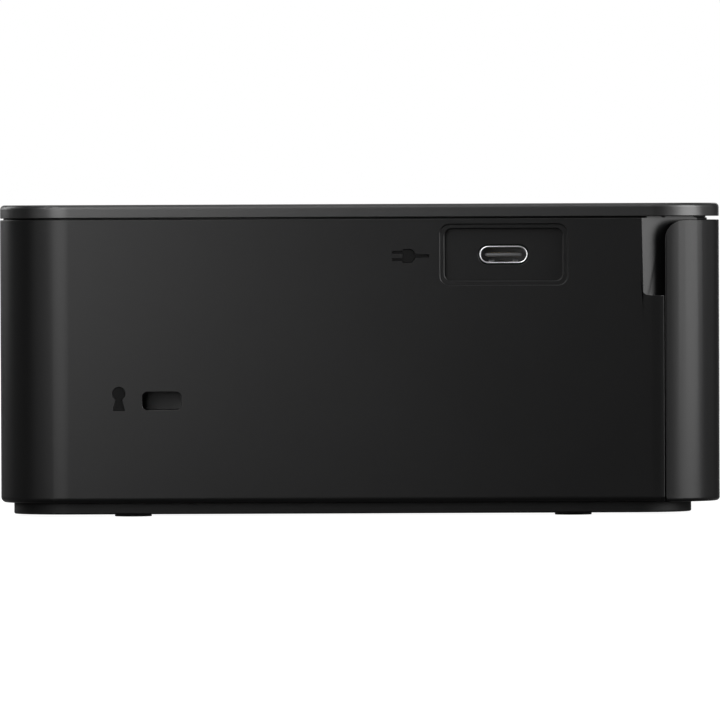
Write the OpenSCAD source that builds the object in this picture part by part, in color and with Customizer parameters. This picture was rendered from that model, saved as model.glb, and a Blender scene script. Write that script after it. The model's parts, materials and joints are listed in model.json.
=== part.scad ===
// Compact dye-sublimation photo printer, lying flat with its front towards -Y.
// The origin is on the surface that it stands on, under the middle of its plan.

/* [Body] */
// Width of the body from side to side
body_w = 182.2; // [178:0.1:196]
// Depth of the body from front to rear
body_d = 133; // [129:0.1:145]
// Height of the body on its feet
body_h = 57.5; // [57:0.1:66]
// Radius of the four upright corners
corner_r = 13; // [11:0.5:15]
// Thickness of the casing's wall
wall = 2.2; // [1.8:0.1:2.6]
// Radius along the casing's lower edge
casing_edge_r = 1; // [0.5:0.1:1.7]
// Radius that breaks the casing's other edges
small_edge_r = 0.15; // [0.1:0.05:0.4]
// Clearance between still parts that slip into each other
slip = 0.2; // [0.1:0.05:0.3]
// Clearance round a part that swings or slides
swing = 0.3; // [0.3:0.05:0.4]
// Radial clearance of a shaft in its bore
run_fit = 0.05; // [0.03:0.01:0.08]

/* [Base and feet] */
// Height of the feet under the base plate
foot_show = 0.5; // [0.4:0.1:1.5]
// Depth of a foot's seat in the base plate
foot_sink = 0.6; // [0.3:0.1:1]
// Radius of a foot
foot_r = 3.4; // [2.5:0.1:4.5]
// Distance of the front feet from the front
foot_front = 27.2; // [22:0.1:35]
// Distance of the rear feet from the rear
foot_rear = 24.5; // [20:0.1:35]
// Distance of the feet from the sides
foot_side = 10; // [9:0.5:30]
// Height of the base plate that shows under the casing
base_show = 2.1; // [2:0.1:3]
// Thickness of the base plate's floor
base_t = 2; // [1.8:0.1:2]
// Radius along the base plate's lower edge
base_edge_r = 0.3; // [0.2:0.1:1.4]
// Height of the rim that stands on the floor
rim_h = 4; // [3:0.1:4.2]
// Thickness of the rim
rim_t = 1.8; // [1.2:0.1:2]

/* [Top cover] */
// Height of the cover's edge
top_h = 2.45; // [2:0.05:3]
// Height of the dark seam under the cover
seam = 0.28; // [0.2:0.02:0.4]
// Depth of the seam, up to the tongue that the cover stands on
seam_in = 0.6; // [0.4:0.1:1]
// Radius along the cover's upper edge
top_edge_r = 0.8; // [0.5:0.1:1.2]
// Thickness of the cover's plate
top_t = 1.7; // [1.6:0.05:2]
// Depth that the cover's lips reach into the casing
lip_reach = 1.5; // [1:0.1:1.5]
// Thickness of the cover's lips
lip_t = 1.4; // [1:0.1:1.6]
// Width of the display glass
glass_w = 86; // [76:1:90]
// Depth of the display glass
glass_d = 68; // [60:1:72]
// Thickness of the display glass
glass_t = 1; // [0.7:0.1:1.1]
// Distance of the glass from the left side
glass_side = 20; // [16:0.5:22]
// Shelf that the glass rests on, all round
glass_shelf = 6; // [4:0.5:8]
// Thickness of the display module
module_t = 4; // [3:0.1:4.4]

/* [Front door] */
// Thickness of the door
door_t = 1.85; // [1.6:0.05:2.2]
// Gap between the door and the casing behind it
door_gap = 0.35; // [0.3:0.05:0.5]
// Distance that the door reaches back round the corners
door_wrap = 10.3; // [9:0.1:11]
// Gap between the door's ends and the casing
door_side_gap = 0.2; // [0.2:0.05:0.4]
// Distance that the door reaches below the casing
door_drop = 0.15; // [0:0.05:0.2]
// Gap between the door's top and the casing's top edge
door_head_gap = 0.38; // [0.3:0.01:0.8]
// Radius of the ends' upper corners
door_top_r = 3.65; // [2:0.05:4.5]
// Radius of the ends' lower corners
door_low_r = 1.1; // [1.1:0.05:1.15]
// Radius along the door's lower edge
door_edge_r = 0.7; // [0.5:0.1:1.8]
// Thickness of the casing's frame behind the door
frame_t = 2.9; // [2.6:0.1:3.4]
// Distance of the door's axis from the front
hinge_in = 3.2; // [3.1:0.05:3.3]
// Height of the door's axis above the casing's lower edge
hinge_up = 1; // [1:0.05:1.1]
// Distance of a door hinge from the middle
hinge_side = 62; // [50:0.5:66]
// Length of a door hinge's knuckle
knuckle_l = 8; // [6:0.5:9]
// Radius of a door hinge's knuckle
knuckle_r = 1.15; // [1.1:0.05:1.15]
// Radius of a door hinge's pin
door_pin_r = 0.5; // [0.4:0.05:0.55]
// Length of a door pin on each side of its knuckle
door_pin_grip = 5; // [4:0.5:8]
// Height of the stiffening ribs inside the door
door_rib_h = 1.6; // [1:0.1:1.6]
// Thickness of the stiffening ribs inside the door
door_rib_t = 1.2; // [1:0.1:1.6]

/* [Finger scoops] */
// Distance that a scoop runs back from the door
scoop_l = 4.1; // [3:0.1:6]
// Height of a scoop below the casing's top edge
scoop_h = 14.3; // [10:0.1:18]
// Radius of a scoop's lower corner
scoop_r = 1.5; // [0.6:0.1:2]
// Depth of a scoop in front, under the door
scoop_depth = 3.6; // [3:0.1:4]

/* [USB port] */
// Distance of the port from the front
port_front = 40; // [36:0.5:44]
// Depth of the port below the casing's top edge
port_down = 6.7; // [6.7:0.1:8]
// Length of the port's recess
recess_l = 23.5; // [18:0.1:26]
// Height of the port's recess
recess_h = 11.3; // [9:0.1:11.4]
// Corner radius of the recess
recess_r = 1.8; // [1:0.1:3]
// Depth of the recess
recess_depth = 2; // [1.4:0.1:2.4]
// Width of the step round the recess
recess_step = 0.8; // [0.4:0.1:1.2]
// Depth of the step
recess_step_depth = 0.5; // [0.3:0.1:0.8]
// Thickness of the recess's floor and walls
recess_wall = 1.4; // [1:0.1:1.6]
// Length of the socket's shell
shell_l = 8.94; // [8.6:0.01:9.2]
// Height of the socket's shell
shell_h = 3.26; // [3:0.01:3.4]
// Thickness of the socket's sheet metal
shell_t = 0.3; // [0.2:0.05:0.4]

/* [Lock slot] */
// Distance of the lock slot from the rear
lock_rear = 30; // [26:0.5:34]
// Height of the lock slot
lock_z = 21.4; // [16:0.1:30]
// Length of the lock slot
lock_l = 7.2; // [7:0.1:8]
// Width of the lock slot
lock_h = 3.3; // [3:0.1:3.6]
// Corner radius of the lock slot
lock_r = 1; // [0.5:0.1:1.4]
// Thickness of the steel plate behind the slot
lock_plate_t = 1.2; // [1:0.1:1.5]
// Depth of the pocket behind the casing's wall
lock_depth = 8.6; // [7:0.1:10]

/* [Ribbon door] */
// Length of the ribbon door
ribbon_door_l = 68; // [66:0.5:70]
// Distance of the ribbon door from the rear
ribbon_door_rear = 14.5; // [14.5:0.5:16]
// Height of the ribbon door's axis
ribbon_axis_z = 14; // [12:0.1:14.5]
// Height of the ribbon door above its axis
ribbon_door_h = 36; // [34:0.5:36]
// Thickness of the ribbon door and radius of its barrel
ribbon_door_t = 1.8; // [1.6:0.1:2]
// Radius of the ribbon door's pin
ribbon_pin_r = 0.8; // [0.6:0.05:0.9]
// Thickness of the casing round the ribbon door
ribbon_frame_t = 5; // [4.8:0.1:5.4]
// Width of the ledge that the ribbon door closes on
ribbon_ledge = 4; // [3:0.1:5]

/* [Rear] */
// Height of the paper slot in the rear
rear_slot_h = 5; // [4.6:0.1:6]
// Number of vents in the rear
vent_n = 14; // [6:1:16]
// Spacing of the vents
vent_pitch = 4; // [3.5:0.1:5]
// Width of a vent
vent_w = 2; // [1.2:0.1:2.4]
// Height of a vent
vent_h = 12; // [8:0.5:13]
// Distance of the power inlet from the left side
inlet_side = 25; // [24:0.5:26]

/* [Keys] */
// Radius of the small round keys
key_r = 4.5; // [3.5:0.1:5]
// Travel of a key
key_travel = 0.45; // [0.3:0.05:0.5]
// Distance that a key's top lies below the cover's
key_low = 0.1; // [0:0.05:0.3]
// Width of the flange that keeps a key in
key_flange = 0.9; // [0.7:0.1:1.2]
// Thickness of the flange
key_flange_t = 0.7; // [0.5:0.1:0.8]
// Outer radius of the ring of arrow keys
ring_r = 15; // [13:0.5:16]
// Inner radius of the ring of arrow keys
ring_hole_r = 7.5; // [7:0.1:8]
// Gap between two arrow keys
ring_gap = 0.5; // [0.4:0.05:0.8]
// Distance of the ring's middle from the right side
ring_side = 39; // [36:0.5:40]

/* [Mechanism] */
// Height of the paper's path
paper_z = 22; // [21.5:0.1:23]
// Module of the gears
gear_m = 0.8; // [0.75:0.05:0.85]
// Width of a gear
gear_w = 3; // [2:0.1:3.2]
// Space between a gear and its neighbours along the shaft
gear_space = 2; // [1.6:0.1:2.2]
// Thickness of the steel plates
plate_t = 1; // [0.8:0.1:1.2]
// Space between the casing and the main board
board_space = 6.3; // [5.5:0.1:7]
// Thickness of the circuit boards
board_t = 1.6; // [1.2:0.1:1.6]
// Space between the main board and the motors
motor_space = 6; // [4.6:0.1:7]
// Length of the motors
motor_l = 12; // [10:0.5:13]
// Space between the right side plate and the ribbon door's frame
lever_space = 12.1; // [11.8:0.1:13]
// Distance of the capstan's axis from the front
capstan_front = 50.5; // [50:0.1:52]
// Radius of the capstan roller
capstan_r = 4; // [3:0.1:4.5]
// Radius of the capstan's shaft
capstan_shaft_r = 2; // [1.5:0.1:2.2]
// Radius of the pinch roller
pinch_r = 3.5; // [3:0.1:4]
// Radius of the pinch roller's shaft
pinch_shaft_r = 1.5; // [1.2:0.1:1.7]
// Radius of the pick-up tyres
tyre_r = 7; // [6:0.1:7.2]
// Radius of the pick-up shaft
pickup_shaft_r = 1.8; // [1.5:0.1:2.2]
// Radius of the platen roller
platen_r = 7; // [6:0.1:7.5]
// Radius of the platen's shaft
platen_shaft_r = 2.5; // [2:0.1:3]
// Distance of the platen's axis from the rear
platen_rear = 46.5; // [45:0.1:47]
// Gap at the nip of two rollers
nip = 0.2; // [0.15:0.05:0.3]
// Distance of the take-up spindle from the rear
takeup_rear = 65.5; // [64:0.1:66]
// Distance of the supply spindle from the rear
supply_rear = 25.5; // [25:0.1:26.5]
// Height of the ribbon spindles above the paper
spindle_up = 14; // [13.5:0.1:14.5]
// Distance of the head arm's pivot from the rear
pivot_rear = 10.5; // [10:0.1:11]
// Height of the head arm's pivot above the paper
pivot_up = 24; // [23.5:0.1:24]
// Travel of the head arm in degrees
head_swing = 9; // [5:0.5:9]
// Travel of the eject lever
lever_travel = 3; // [2:0.5:3]

/* [Hidden] */
$fn = 48;

// Colours
casing_black = "#1c1c1e";
cover_black = "#141416";
base_black = "#101012";
rubber_black = "#0c0c0d";
glass_black = "#060608";
key_grey = "#2b2b2e";
steel = "#b9bcc0";
brass_yellow = "#c8a85a";
board_green = "#1d5a3a";
gear_white = "#e4e2da";
part_grey = "#55585c";
alloy = "#a9adb2";

// Walls and levels
half_w = body_w / 2;
half_d = body_d / 2;
floor_z = foot_show + base_t;
casing_z0 = foot_show + base_show;
casing_z1 = body_h - top_h - seam;
cover_z0 = casing_z1 + seam;
cover_z1 = body_h - top_t;
inner_x = half_w - wall;
rim_z1 = floor_z + rim_h;
far = body_w;

// Front frame and door
frame_in = door_t + door_gap;
frame_inner = frame_in + frame_t;
door_back = door_wrap - half_d;
casing_front = door_back + door_side_gap;
cheek_back = casing_front + scoop_l + 2.9;
door_z0 = casing_z0 - door_drop;
door_z1 = casing_z1 - door_head_gap;
hinge_at = [hinge_in - half_d, casing_z0 + hinge_up];
frame_edge_r = 0.8;
mouth_margin = 5;
mouth_z0 = 6.5;
mouth_z1 = casing_z1 - 12.9;
rail_t = 1.7;
rail_z1 = 12;

// Stack of parts from the left wall to the side plates, and from the right wall inwards
board_x = -inner_x + board_space;
motor_x = board_x + board_t + motor_space;
bracket_x = motor_x + motor_l;
layer_b_x = bracket_x + plate_t + gear_space;
layer_a_x = layer_b_x + gear_w + gear_space;
left_plate_x = layer_a_x + gear_w + gear_space;
path_x0 = left_plate_x + plate_t;
ribbon_frame_x = half_w - ribbon_frame_t;
right_plate_x = ribbon_frame_x - lever_space - plate_t;
path_x1 = right_plate_x;
path_mid = (path_x0 + path_x1) / 2;
mouth_x0 = path_x0 + mouth_margin;
mouth_x1 = path_x1 - mouth_margin;

// Gears: tooth counts and proportions
capstan_n = 32;
pickup_n = 20;
reduction_small_n = 12;
reduction_big_n = 24;
pinion_n = 10;
takeup_n = 30;
sector_n = 40;
pressure = 25;
addendum = 0.85 * gear_m;
dedendum = 1.15 * gear_m;
backlash = 0.12;
motor_shaft_r = 1;
feed_motor_r = 12;
ribbon_motor_r = 10;
head_motor_r = 7;
stud_r = 1.5;

// Axes as [y, z], each gear set against the one that it meshes with
function step_to(from, turn, teeth) = from + gear_m * teeth / 2 * [cos(turn), sin(turn)];
capstan_at = [capstan_front - half_d, paper_z - capstan_r];
pickup_turn = 145;
pickup_at = step_to(capstan_at, pickup_turn, capstan_n + pickup_n);
reduction_turn = 191.5;
reduction_at = step_to(capstan_at, reduction_turn, capstan_n + reduction_small_n);
feed_pinion_turn = 170.4;
feed_pinion_at = step_to(reduction_at, feed_pinion_turn, reduction_big_n + pinion_n);
pinch_at = capstan_at + [0, capstan_r + nip + pinch_r];
platen_at = [half_d - platen_rear, paper_z - platen_r];
takeup_at = [half_d - takeup_rear, paper_z + spindle_up];
supply_at = [half_d - supply_rear, paper_z + spindle_up];
ribbon_pinion_turn = -40;
ribbon_pinion_at = step_to(takeup_at, ribbon_pinion_turn, takeup_n + pinion_n);
pivot_at = [half_d - pivot_rear, paper_z + pivot_up];
head_pinion_turn = 250;
head_pinion_at = step_to(pivot_at, head_pinion_turn, sector_n + pinion_n);

// Turn of a gear whose teeth enter the gaps of the one before it
function mesh_turn(n_a, turn_a, n_b, way) =
    way + 180 - 360 / n_b * (0.5 - n_a * (way - turn_a) / 360);
pickup_phase = mesh_turn(capstan_n, 0, pickup_n, pickup_turn);
reduction_phase = mesh_turn(capstan_n, 0, reduction_small_n, reduction_turn);
feed_pinion_phase = mesh_turn(reduction_big_n, 0, pinion_n, feed_pinion_turn);
ribbon_pinion_phase = mesh_turn(takeup_n, 0, pinion_n, ribbon_pinion_turn);
head_pinion_phase = mesh_turn(sector_n, 0, pinion_n, head_pinion_turn);

// Head arm: a deck from ahead of the head to the pivot, with the heat sink and head below
arm_margin = 9;
arm_half = (path_x1 - path_x0) / 2 - arm_margin;
arm_t = 1.5;
arm_side_h = 5.3;
arm_ear_r = 4;
arm_z1 = pivot_at.y + 3.8;
arm_front = platen_at.x - 8;
sink_y0 = platen_at.x - 6;
sink_y1 = platen_at.x + 7;
sink_z0 = paper_z + 11;
sink_base_t = 2.5;
head_z0 = paper_z + 8;
ridge_r = 1.5;
sleeve_r = 3.5;
turn_back = [[cos(head_swing), sin(head_swing)], [-sin(head_swing), cos(head_swing)]];
head_gap = 0.6;
ridge_at = pivot_at + turn_back * (platen_at + [0, platen_r + head_gap] - pivot_at);

// Screw bosses as [x, y, side to the wall]
boss_r = 3.2;
boss_z1 = 20;
boss_web_t = 2;
screw_r = 1.5;
screw_head_r = 2.7;
screw_head_h = 1;
screw_l = 10;
bosses = [for (s = [-1, 1]) each [
    [s * (half_w - corner_r + 0.4), corner_r + 1.5 - half_d, s * (half_w - frame_inner + 0.5)],
    [s * (half_w - corner_r + 1.9), half_d - corner_r + 2, s * (inner_x + 0.3)]
]];

// Ribbon door
ribbon_y1 = half_d - ribbon_door_rear;
ribbon_y0 = ribbon_y1 - ribbon_door_l;
ribbon_axis_x = half_w - ribbon_door_t;
ribbon_z1 = ribbon_axis_z + ribbon_door_h;
ribbon_hole_y0 = ribbon_y0 + ribbon_ledge;
ribbon_hole_y1 = ribbon_y1 - ribbon_ledge;
ribbon_pin_grip = 4;

// USB port
port_y = port_front - half_d;
port_z = casing_z1 - port_down;
port_floor_x = recess_depth - half_w;

// Half the length and height of the lock's steel plate
lock_plate_half = [8, 6];

// Card socket on its shelf
card_w = 26;
card_h = 4.5;
card_slot_w = 24.6;
card_slot_h = 2.6;
card_shelf_z = casing_z1 - 14.4;
card_shelf_t = 1.5;
card_y0 = cheek_back + 0.5;
card_x0 = half_w - 29;
card_z0 = card_shelf_z + card_shelf_t;

// Power inlet
inlet_x = inlet_side - half_w;
inlet_w = 10;
inlet_h = 9.4;
power_board_z = floor_z + 4.5;
inlet_z0 = power_board_z + board_t;
inlet_bore_r = 2.8;

// Display glass
glass_x = glass_side - half_w;
glass_mid_y = 8;
glass_y = glass_mid_y - glass_d / 2;
glass_r = 2;
glass_z0 = body_h - glass_t;

// Keys: [x, y] in the cover
ring_at = [half_w - ring_side, 0];
power_at = ring_at + [18, 40];
home_at = ring_at + [-16, 24];
edit_at = ring_at + [16, 24];
back_at = ring_at + [0, -24];
minus_at = ring_at + [-10, -42];
plus_at = ring_at + [10, -42];
key_z0 = cover_z1 - swing - key_flange_t;
key_z1 = body_h - key_low;
switch_top = key_z0 - key_travel - 0.55;
switch_h = 1.7;
key_board_z1 = switch_top - switch_h;
key_board_z0 = key_board_z1 - board_t + 0.4;
switch_spots = concat(
    [power_at, home_at, edit_at, back_at, minus_at, plus_at, ring_at],
    [for (turn = [0 : 90 : 270]) ring_at + (ring_r + ring_hole_r) / 2 * [cos(turn), sin(turn)]]
);

// Eject lever on the right side plate
lever_x0 = right_plate_x + plate_t + swing;
lever_t = 1.5;
lever_y1 = ribbon_hole_y0 - 0.5;
lever_y0 = lever_y1 - 7.5;
lever_mid = lever_y1 - 4;
lever_z0 = 24;
lever_z1 = 44;
lever_studs = [30, 40];
lever_stud_r = 1.2;
lever_slot_r = 1.5;
spring_seat_z = 13;
window_y0 = ribbon_hole_y0 + 2;

// ---------- Shapes used by several parts ----------

// A box between two corners
module block(a, b) {
    translate(a) cube(b - a);
}

// What a round corner leaves out of a square one
module corner_rest(r) {
    difference() {
        translate([-1, -1]) square(r + 1);
        translate([r, r]) circle(r);
    }
}

// A rectangle from a to b; r gives its corner radii, counted from a against the clock
module soft_box(a, b, r) {
    corners = [a, [b.x, a.y], b, [a.x, b.y]];
    difference() {
        translate(a) square(b - a);
        for (i = [0 : 3]) if (r[i] > 0) translate(corners[i]) rotate(90 * i) corner_rest(r[i]);
    }
}

// A rectangle with four equal round corners
module round_box(a, b, r) {
    soft_box(a, b, [r, r, r, r]);
}

// A slot of length l and height h about a point, with half-round ends
module slot_shape(at, l, h) {
    translate(at) {
        square([l - h, h], center = true);
        for (s = [-1, 1]) translate([s * (l - h) / 2, 0]) circle(h / 2);
    }
}

// Runs a (y, z) outline from x0 to x1
module along_x(x0, x1) {
    translate([x0, 0, 0]) rotate([90, 0, 90]) linear_extrude(x1 - x0) children();
}

// Runs an (x, z) outline from y0 to y1
module along_y(y0, y1) {
    translate([0, y1, 0]) rotate([90, 0, 0]) linear_extrude(y1 - y0) children();
}

// A round bar along X about a (y, z) point
module rod_x(x0, x1, at, r) {
    translate([x0, at.x, at.y]) rotate([0, 90, 0]) cylinder(h = x1 - x0, r = r);
}

// A round bar along Y about an (x, z) point
module rod_y(y0, y1, at, r) {
    translate([at.x, y1, at.y]) rotate([90, 0, 0]) cylinder(h = y1 - y0, r = r);
}

// A round bar upwards from a point
module rod_z(z0, z1, at, r) {
    translate([at.x, at.y, z0]) cylinder(h = z1 - z0, r = r);
}

// Runs an (outwards, z) outline round a rectangle with round corners.
// The outline's x counts from the corners' centres, so the outer face is at x = r.
module around(hx, hy, r) {
    for (turn = [0, 180]) rotate(turn) {
        translate([hx - r, hy - r, 0]) rotate([90, 0, 0]) linear_extrude(2 * (hy - r)) children();
        rotate(90) translate([hy - r, hx - r, 0]) rotate([90, 0, 0])
            linear_extrude(2 * (hx - r)) children();
    }
    for (q = [0 : 3]) {
        side_x = (q == 0 || q == 3) ? 1 : -1;
        side_y = (q < 2) ? 1 : -1;
        translate([side_x * (hx - r), side_y * (hy - r), 0]) rotate(90 * q)
            rotate_extrude(angle = 90) children();
    }
}

// Section of an upright wall whose outer edges are round below (r0) and above (r1)
module wall_shape(outer, t, z0, z1, r0, r1) {
    soft_box([outer - t, z0], [outer, z1], [0, r0, r1, 0]);
}

// ---------- Gears ----------

function polar(r, turn) = r * [cos(turn), sin(turn)];
function roll_off(a) = tan(a) * 180 / PI - a;

// Half the angle of a tooth at radius r, for a gear of pitch radius rp
function half_tooth(r, rp, n) =
    let (rb = rp * cos(pressure))
    90 / n - backlash / 4 / rp * 180 / PI + roll_off(pressure) - roll_off(acos(min(1, rb / r)));

// Involute teeth number first to last, with the root closed to the middle
module teeth(n, turn, first, last) {
    rp = gear_m * n / 2;
    low = max(rp * cos(pressure), rp - dedendum);
    tip = rp + addendum;
    radii = concat(
        low > rp - dedendum ? [rp - dedendum] : [],
        [low, (low + tip) / 2, tip]
    );
    polygon([
        for (i = [first : last]) let (c = turn + 360 / n * i) each concat(
            [for (j = [0 : len(radii) - 1])
                polar(radii[j], c - half_tooth(max(radii[j], low), rp, n))],
            [for (j = [len(radii) - 1 : -1 : 0])
                polar(radii[j], c + half_tooth(max(radii[j], low), rp, n))]
        )
    ]);
}

// A spur gear from x0, one gear wide
module gear(x0, at, n, turn) {
    along_x(x0, x0 + gear_w) translate(at) teeth(n, turn, 0, n - 1);
}

// ---------- Housing ----------

module casing_wall() {
    intersection() {
        around(half_w, half_d, corner_r) {
            wall_shape(corner_r, wall, casing_z0, casing_z1, casing_edge_r, small_edge_r);
            // Tongue that the cover stands on
            translate([corner_r - wall, casing_z1 - 1]) square([wall - seam_in, 1 + seam]);
        }
        block([-far, casing_front, 0], [far, far, far]);
    }
}

// Frame behind the door, with cheeks that tie it to the outer wall behind the scoops
module front_frame() {
    frame_r = corner_r - frame_in;
    intersection() {
        around(half_w - frame_in, half_d - frame_in, frame_r) {
            wall_shape(frame_r, frame_t, casing_z0, casing_z1, frame_edge_r, small_edge_r);
            // Bead that reaches up to the cover's plate
            translate([frame_r - frame_t, casing_z1 - 1])
                square([frame_t - small_edge_r - 0.1, 1 + cover_z1 - casing_z1]);
        }
        block([-far, -far, 0], [far, cheek_back, far]);
    }
    intersection() {
        around(half_w, half_d, corner_r)
            translate([corner_r - frame_inner, casing_z0 + casing_edge_r])
                square([frame_inner - wall / 2, casing_z1 - casing_z0 - casing_edge_r]);
        block([-far, casing_front, 0], [far, cheek_back, far]);
    }
}

module port_pad() {
    y_reach = recess_l / 2 + recess_wall;
    block(
        [-half_w + wall / 2, port_y - y_reach, port_z - recess_h / 2 - recess_wall],
        [port_floor_x + recess_wall, port_y + y_reach, casing_z1]
    );
}

module port_recess() {
    half = [recess_l / 2, recess_h / 2];
    at = [port_y, port_z];
    step = [recess_step, recess_step];
    along_x(-far, -half_w + recess_step_depth) round_box(at - half, at + half, recess_r);
    along_x(-far, port_floor_x)
        round_box(at - half + step, at + half - step, recess_r - recess_step / 2);
    along_x(-far, port_floor_x + recess_wall + 1)
        slot_shape(at, shell_l + 2 * slip, shell_h + 2 * slip);
}

module lock_hole(x0, x1, grow) {
    half = [lock_l / 2 + grow, lock_h / 2 + grow];
    at = [half_d - lock_rear, lock_z];
    along_x(x0, x1) round_box(at - half, at + half, lock_r);
}

// Closed pocket behind the lock slot, with a slit in its top for the steel plate
module lock_pocket() {
    at = [half_d - lock_rear, lock_z];
    half = lock_plate_half + [1.6, 1.6];
    block(
        [-half_w + wall / 2, at.x - half.x, at.y - half.y],
        [lock_depth - inner_x, at.x + half.x, at.y + half.y]
    );
}

module lock_pocket_hollow() {
    at = [half_d - lock_rear, lock_z];
    room = lock_plate_half + [slip, slip];
    lock_hole(-far, lock_depth - inner_x - 1.4, 0);
    block(
        [-inner_x, at.x - room.x, at.y - room.y],
        [lock_plate_t + slip - inner_x, at.x + room.x, at.y + room.y + 4]
    );
}

// The floor of a scoop slants in towards the front and runs out of the frame's round corner
module finger_scoop() {
    top = cover_z1 + 1;
    run = 12;
    slope = scoop_depth / (scoop_l + 1.5);
    intersection() {
        along_x(-far, 0)
            soft_box([-half_d, casing_z1 - scoop_h], [casing_front + scoop_l, top],
                [0, scoop_r, 0, 0]);
        translate([-half_w, casing_front + scoop_l, 0]) linear_extrude(far)
            polygon([[-far, 0], [0, 0], [slope * run, -run], [-far, -run]]);
    }
}

// Notches and pin bores of the front door's hinges
module door_hinge_seats() {
    for (s = [-1, 1]) {
        half = knuckle_l / 2 + swing;
        reach = knuckle_l / 2 + door_pin_grip;
        block(
            [s * hinge_side - half, -half_d, 0],
            [s * hinge_side + half, frame_inner - half_d + 1, hinge_at.y + knuckle_r + swing]
        );
        rod_x(s * hinge_side - reach, s * hinge_side + reach, hinge_at, door_pin_r + 0.02);
    }
    // Room for the door's lower edge where it turns under the frame's corners
    relief_x = half_w - corner_r + 0.9;
    for (s = [-1, 1]) {
        block(
            [min(s * relief_x, s * half_w), -half_d, 0],
            [max(s * relief_x, s * half_w), hinge_at.x + 2.7, hinge_at.y + 1.5]
        );
    }
}

module paper_mouth() {
    along_y(-far, frame_inner - half_d + 1)
        round_box([mouth_x0, mouth_z0], [mouth_x1, mouth_z1], 2);
}

module ribbon_frame() {
    block(
        [ribbon_frame_x, ribbon_y0 - 6, ribbon_axis_z - 5],
        [half_w - wall / 2, ribbon_y1 + 6, ribbon_z1 + 3]
    );
}

module ribbon_door_seat() {
    low = [ribbon_y0 - swing, ribbon_axis_z - ribbon_door_t - swing];
    high = [ribbon_y1 + swing, ribbon_z1 + swing];
    along_x(ribbon_axis_x - swing, far) soft_box(low, high, [0, 0, 1.5, 1.5]);
    rod_y(low.x, high.x, [ribbon_axis_x, ribbon_axis_z], ribbon_door_t + swing);
    along_x(ribbon_frame_x - 1, far)
        round_box(
            [ribbon_hole_y0, ribbon_axis_z + ribbon_ledge],
            [ribbon_hole_y1, ribbon_z1 - 1.5], 1.5
        );
    rod_y(
        ribbon_y0 - ribbon_pin_grip, ribbon_y1 + ribbon_pin_grip,
        [ribbon_axis_x, ribbon_axis_z], ribbon_pin_r + 0.02
    );
    // Finger notch over the door's upper edge
    rod_y(
        (ribbon_y0 + ribbon_y1) / 2 - 9, (ribbon_y0 + ribbon_y1) / 2 + 9,
        [half_w + 1.2, ribbon_z1 + 1], 3
    );
}

module card_shelf() {
    block(
        [card_x0, card_y0 - 1, card_shelf_z],
        [half_w - wall / 2, card_y0 + card_w + 0.5, card_z0]
    );
}

module card_hole() {
    mid = card_y0 + card_w / 2;
    along_x(inner_x - 4, far)
        round_box(
            [mid - card_slot_w / 2, card_z0 + 0.8],
            [mid + card_slot_w / 2, card_z0 + 0.8 + card_slot_h], 0.6
        );
}

module rear_holes() {
    along_y(half_d - wall - 1, far) {
        round_box(
            [mouth_x0 + 2, paper_z - 0.5], [mouth_x1 - 2, paper_z - 0.5 + rear_slot_h], 1
        );
        for (i = [0 : vent_n - 1]) {
            x = path_mid + (i - (vent_n - 1) / 2) * vent_pitch;
            slot_z = paper_z + rear_slot_h + 9;
            translate([x, slot_z + vent_h / 2]) rotate(90) slot_shape([0, 0], vent_h, vent_w);
        }
        round_box(
            [inlet_x - inlet_w / 2 - slip, inlet_z0 - slip],
            [inlet_x + inlet_w / 2 + slip, inlet_z0 + inlet_h + slip], slip
        );
    }
}

module screw_boss(boss) {
    rod_z(floor_z, boss_z1, boss, boss_r);
    block(
        [min(boss.x, boss.z), boss.y - boss_web_t / 2, rim_z1 + 0.5],
        [max(boss.x, boss.z), boss.y + boss_web_t / 2, boss_z1]
    );
}

module main_casing() {
    color(casing_black) difference() {
        union() {
            casing_wall();
            front_frame();
            port_pad();
            ribbon_frame();
            card_shelf();
            lock_pocket();
            for (boss = bosses) screw_boss(boss);
        }
        for (boss = bosses) rod_z(0, boss_z1 - 3, boss, screw_r + run_fit);
        paper_mouth();
        finger_scoop();
        mirror([1, 0, 0]) finger_scoop();
        port_recess();
        lock_pocket_hollow();
        door_hinge_seats();
        ribbon_door_seat();
        card_hole();
        rear_holes();
    }
}

// Outline inside the casing's walls and frame, grown inwards by t
module rim_outline(t) {
    side = half_w - wall - slip - t;
    narrow = half_w - frame_inner - slip - t;
    front_y = frame_inner + slip + t - half_d;
    rear_y = half_d - wall - slip - t;
    split = cheek_back + slip + t;
    rear_r = corner_r - wall - slip - t;
    front_r = corner_r - frame_inner - slip - t;
    soft_box([-side, split], [side, rear_y], [0, 0, rear_r, rear_r]);
    soft_box([-narrow, front_y], [narrow, split + 1], [front_r, front_r, 0, 0]);
}

module rail(x) {
    y0 = low_ties[0].x + tie_r + 0.5;
    block([x, y0, foot_show + 1], [x + rail_t, capstan_at.x - 6, rail_z1]);
}

module board_post(y) {
    difference() {
        block(
            [board_x - 1.6, y, foot_show + 1],
            [board_x + board_t + 1.6, y + 6, floor_z + 8.5]
        );
        block([board_x - 0.1, y - 1, floor_z + 5.5], [board_x + board_t + 0.1, y + 7, far]);
    }
}

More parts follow.
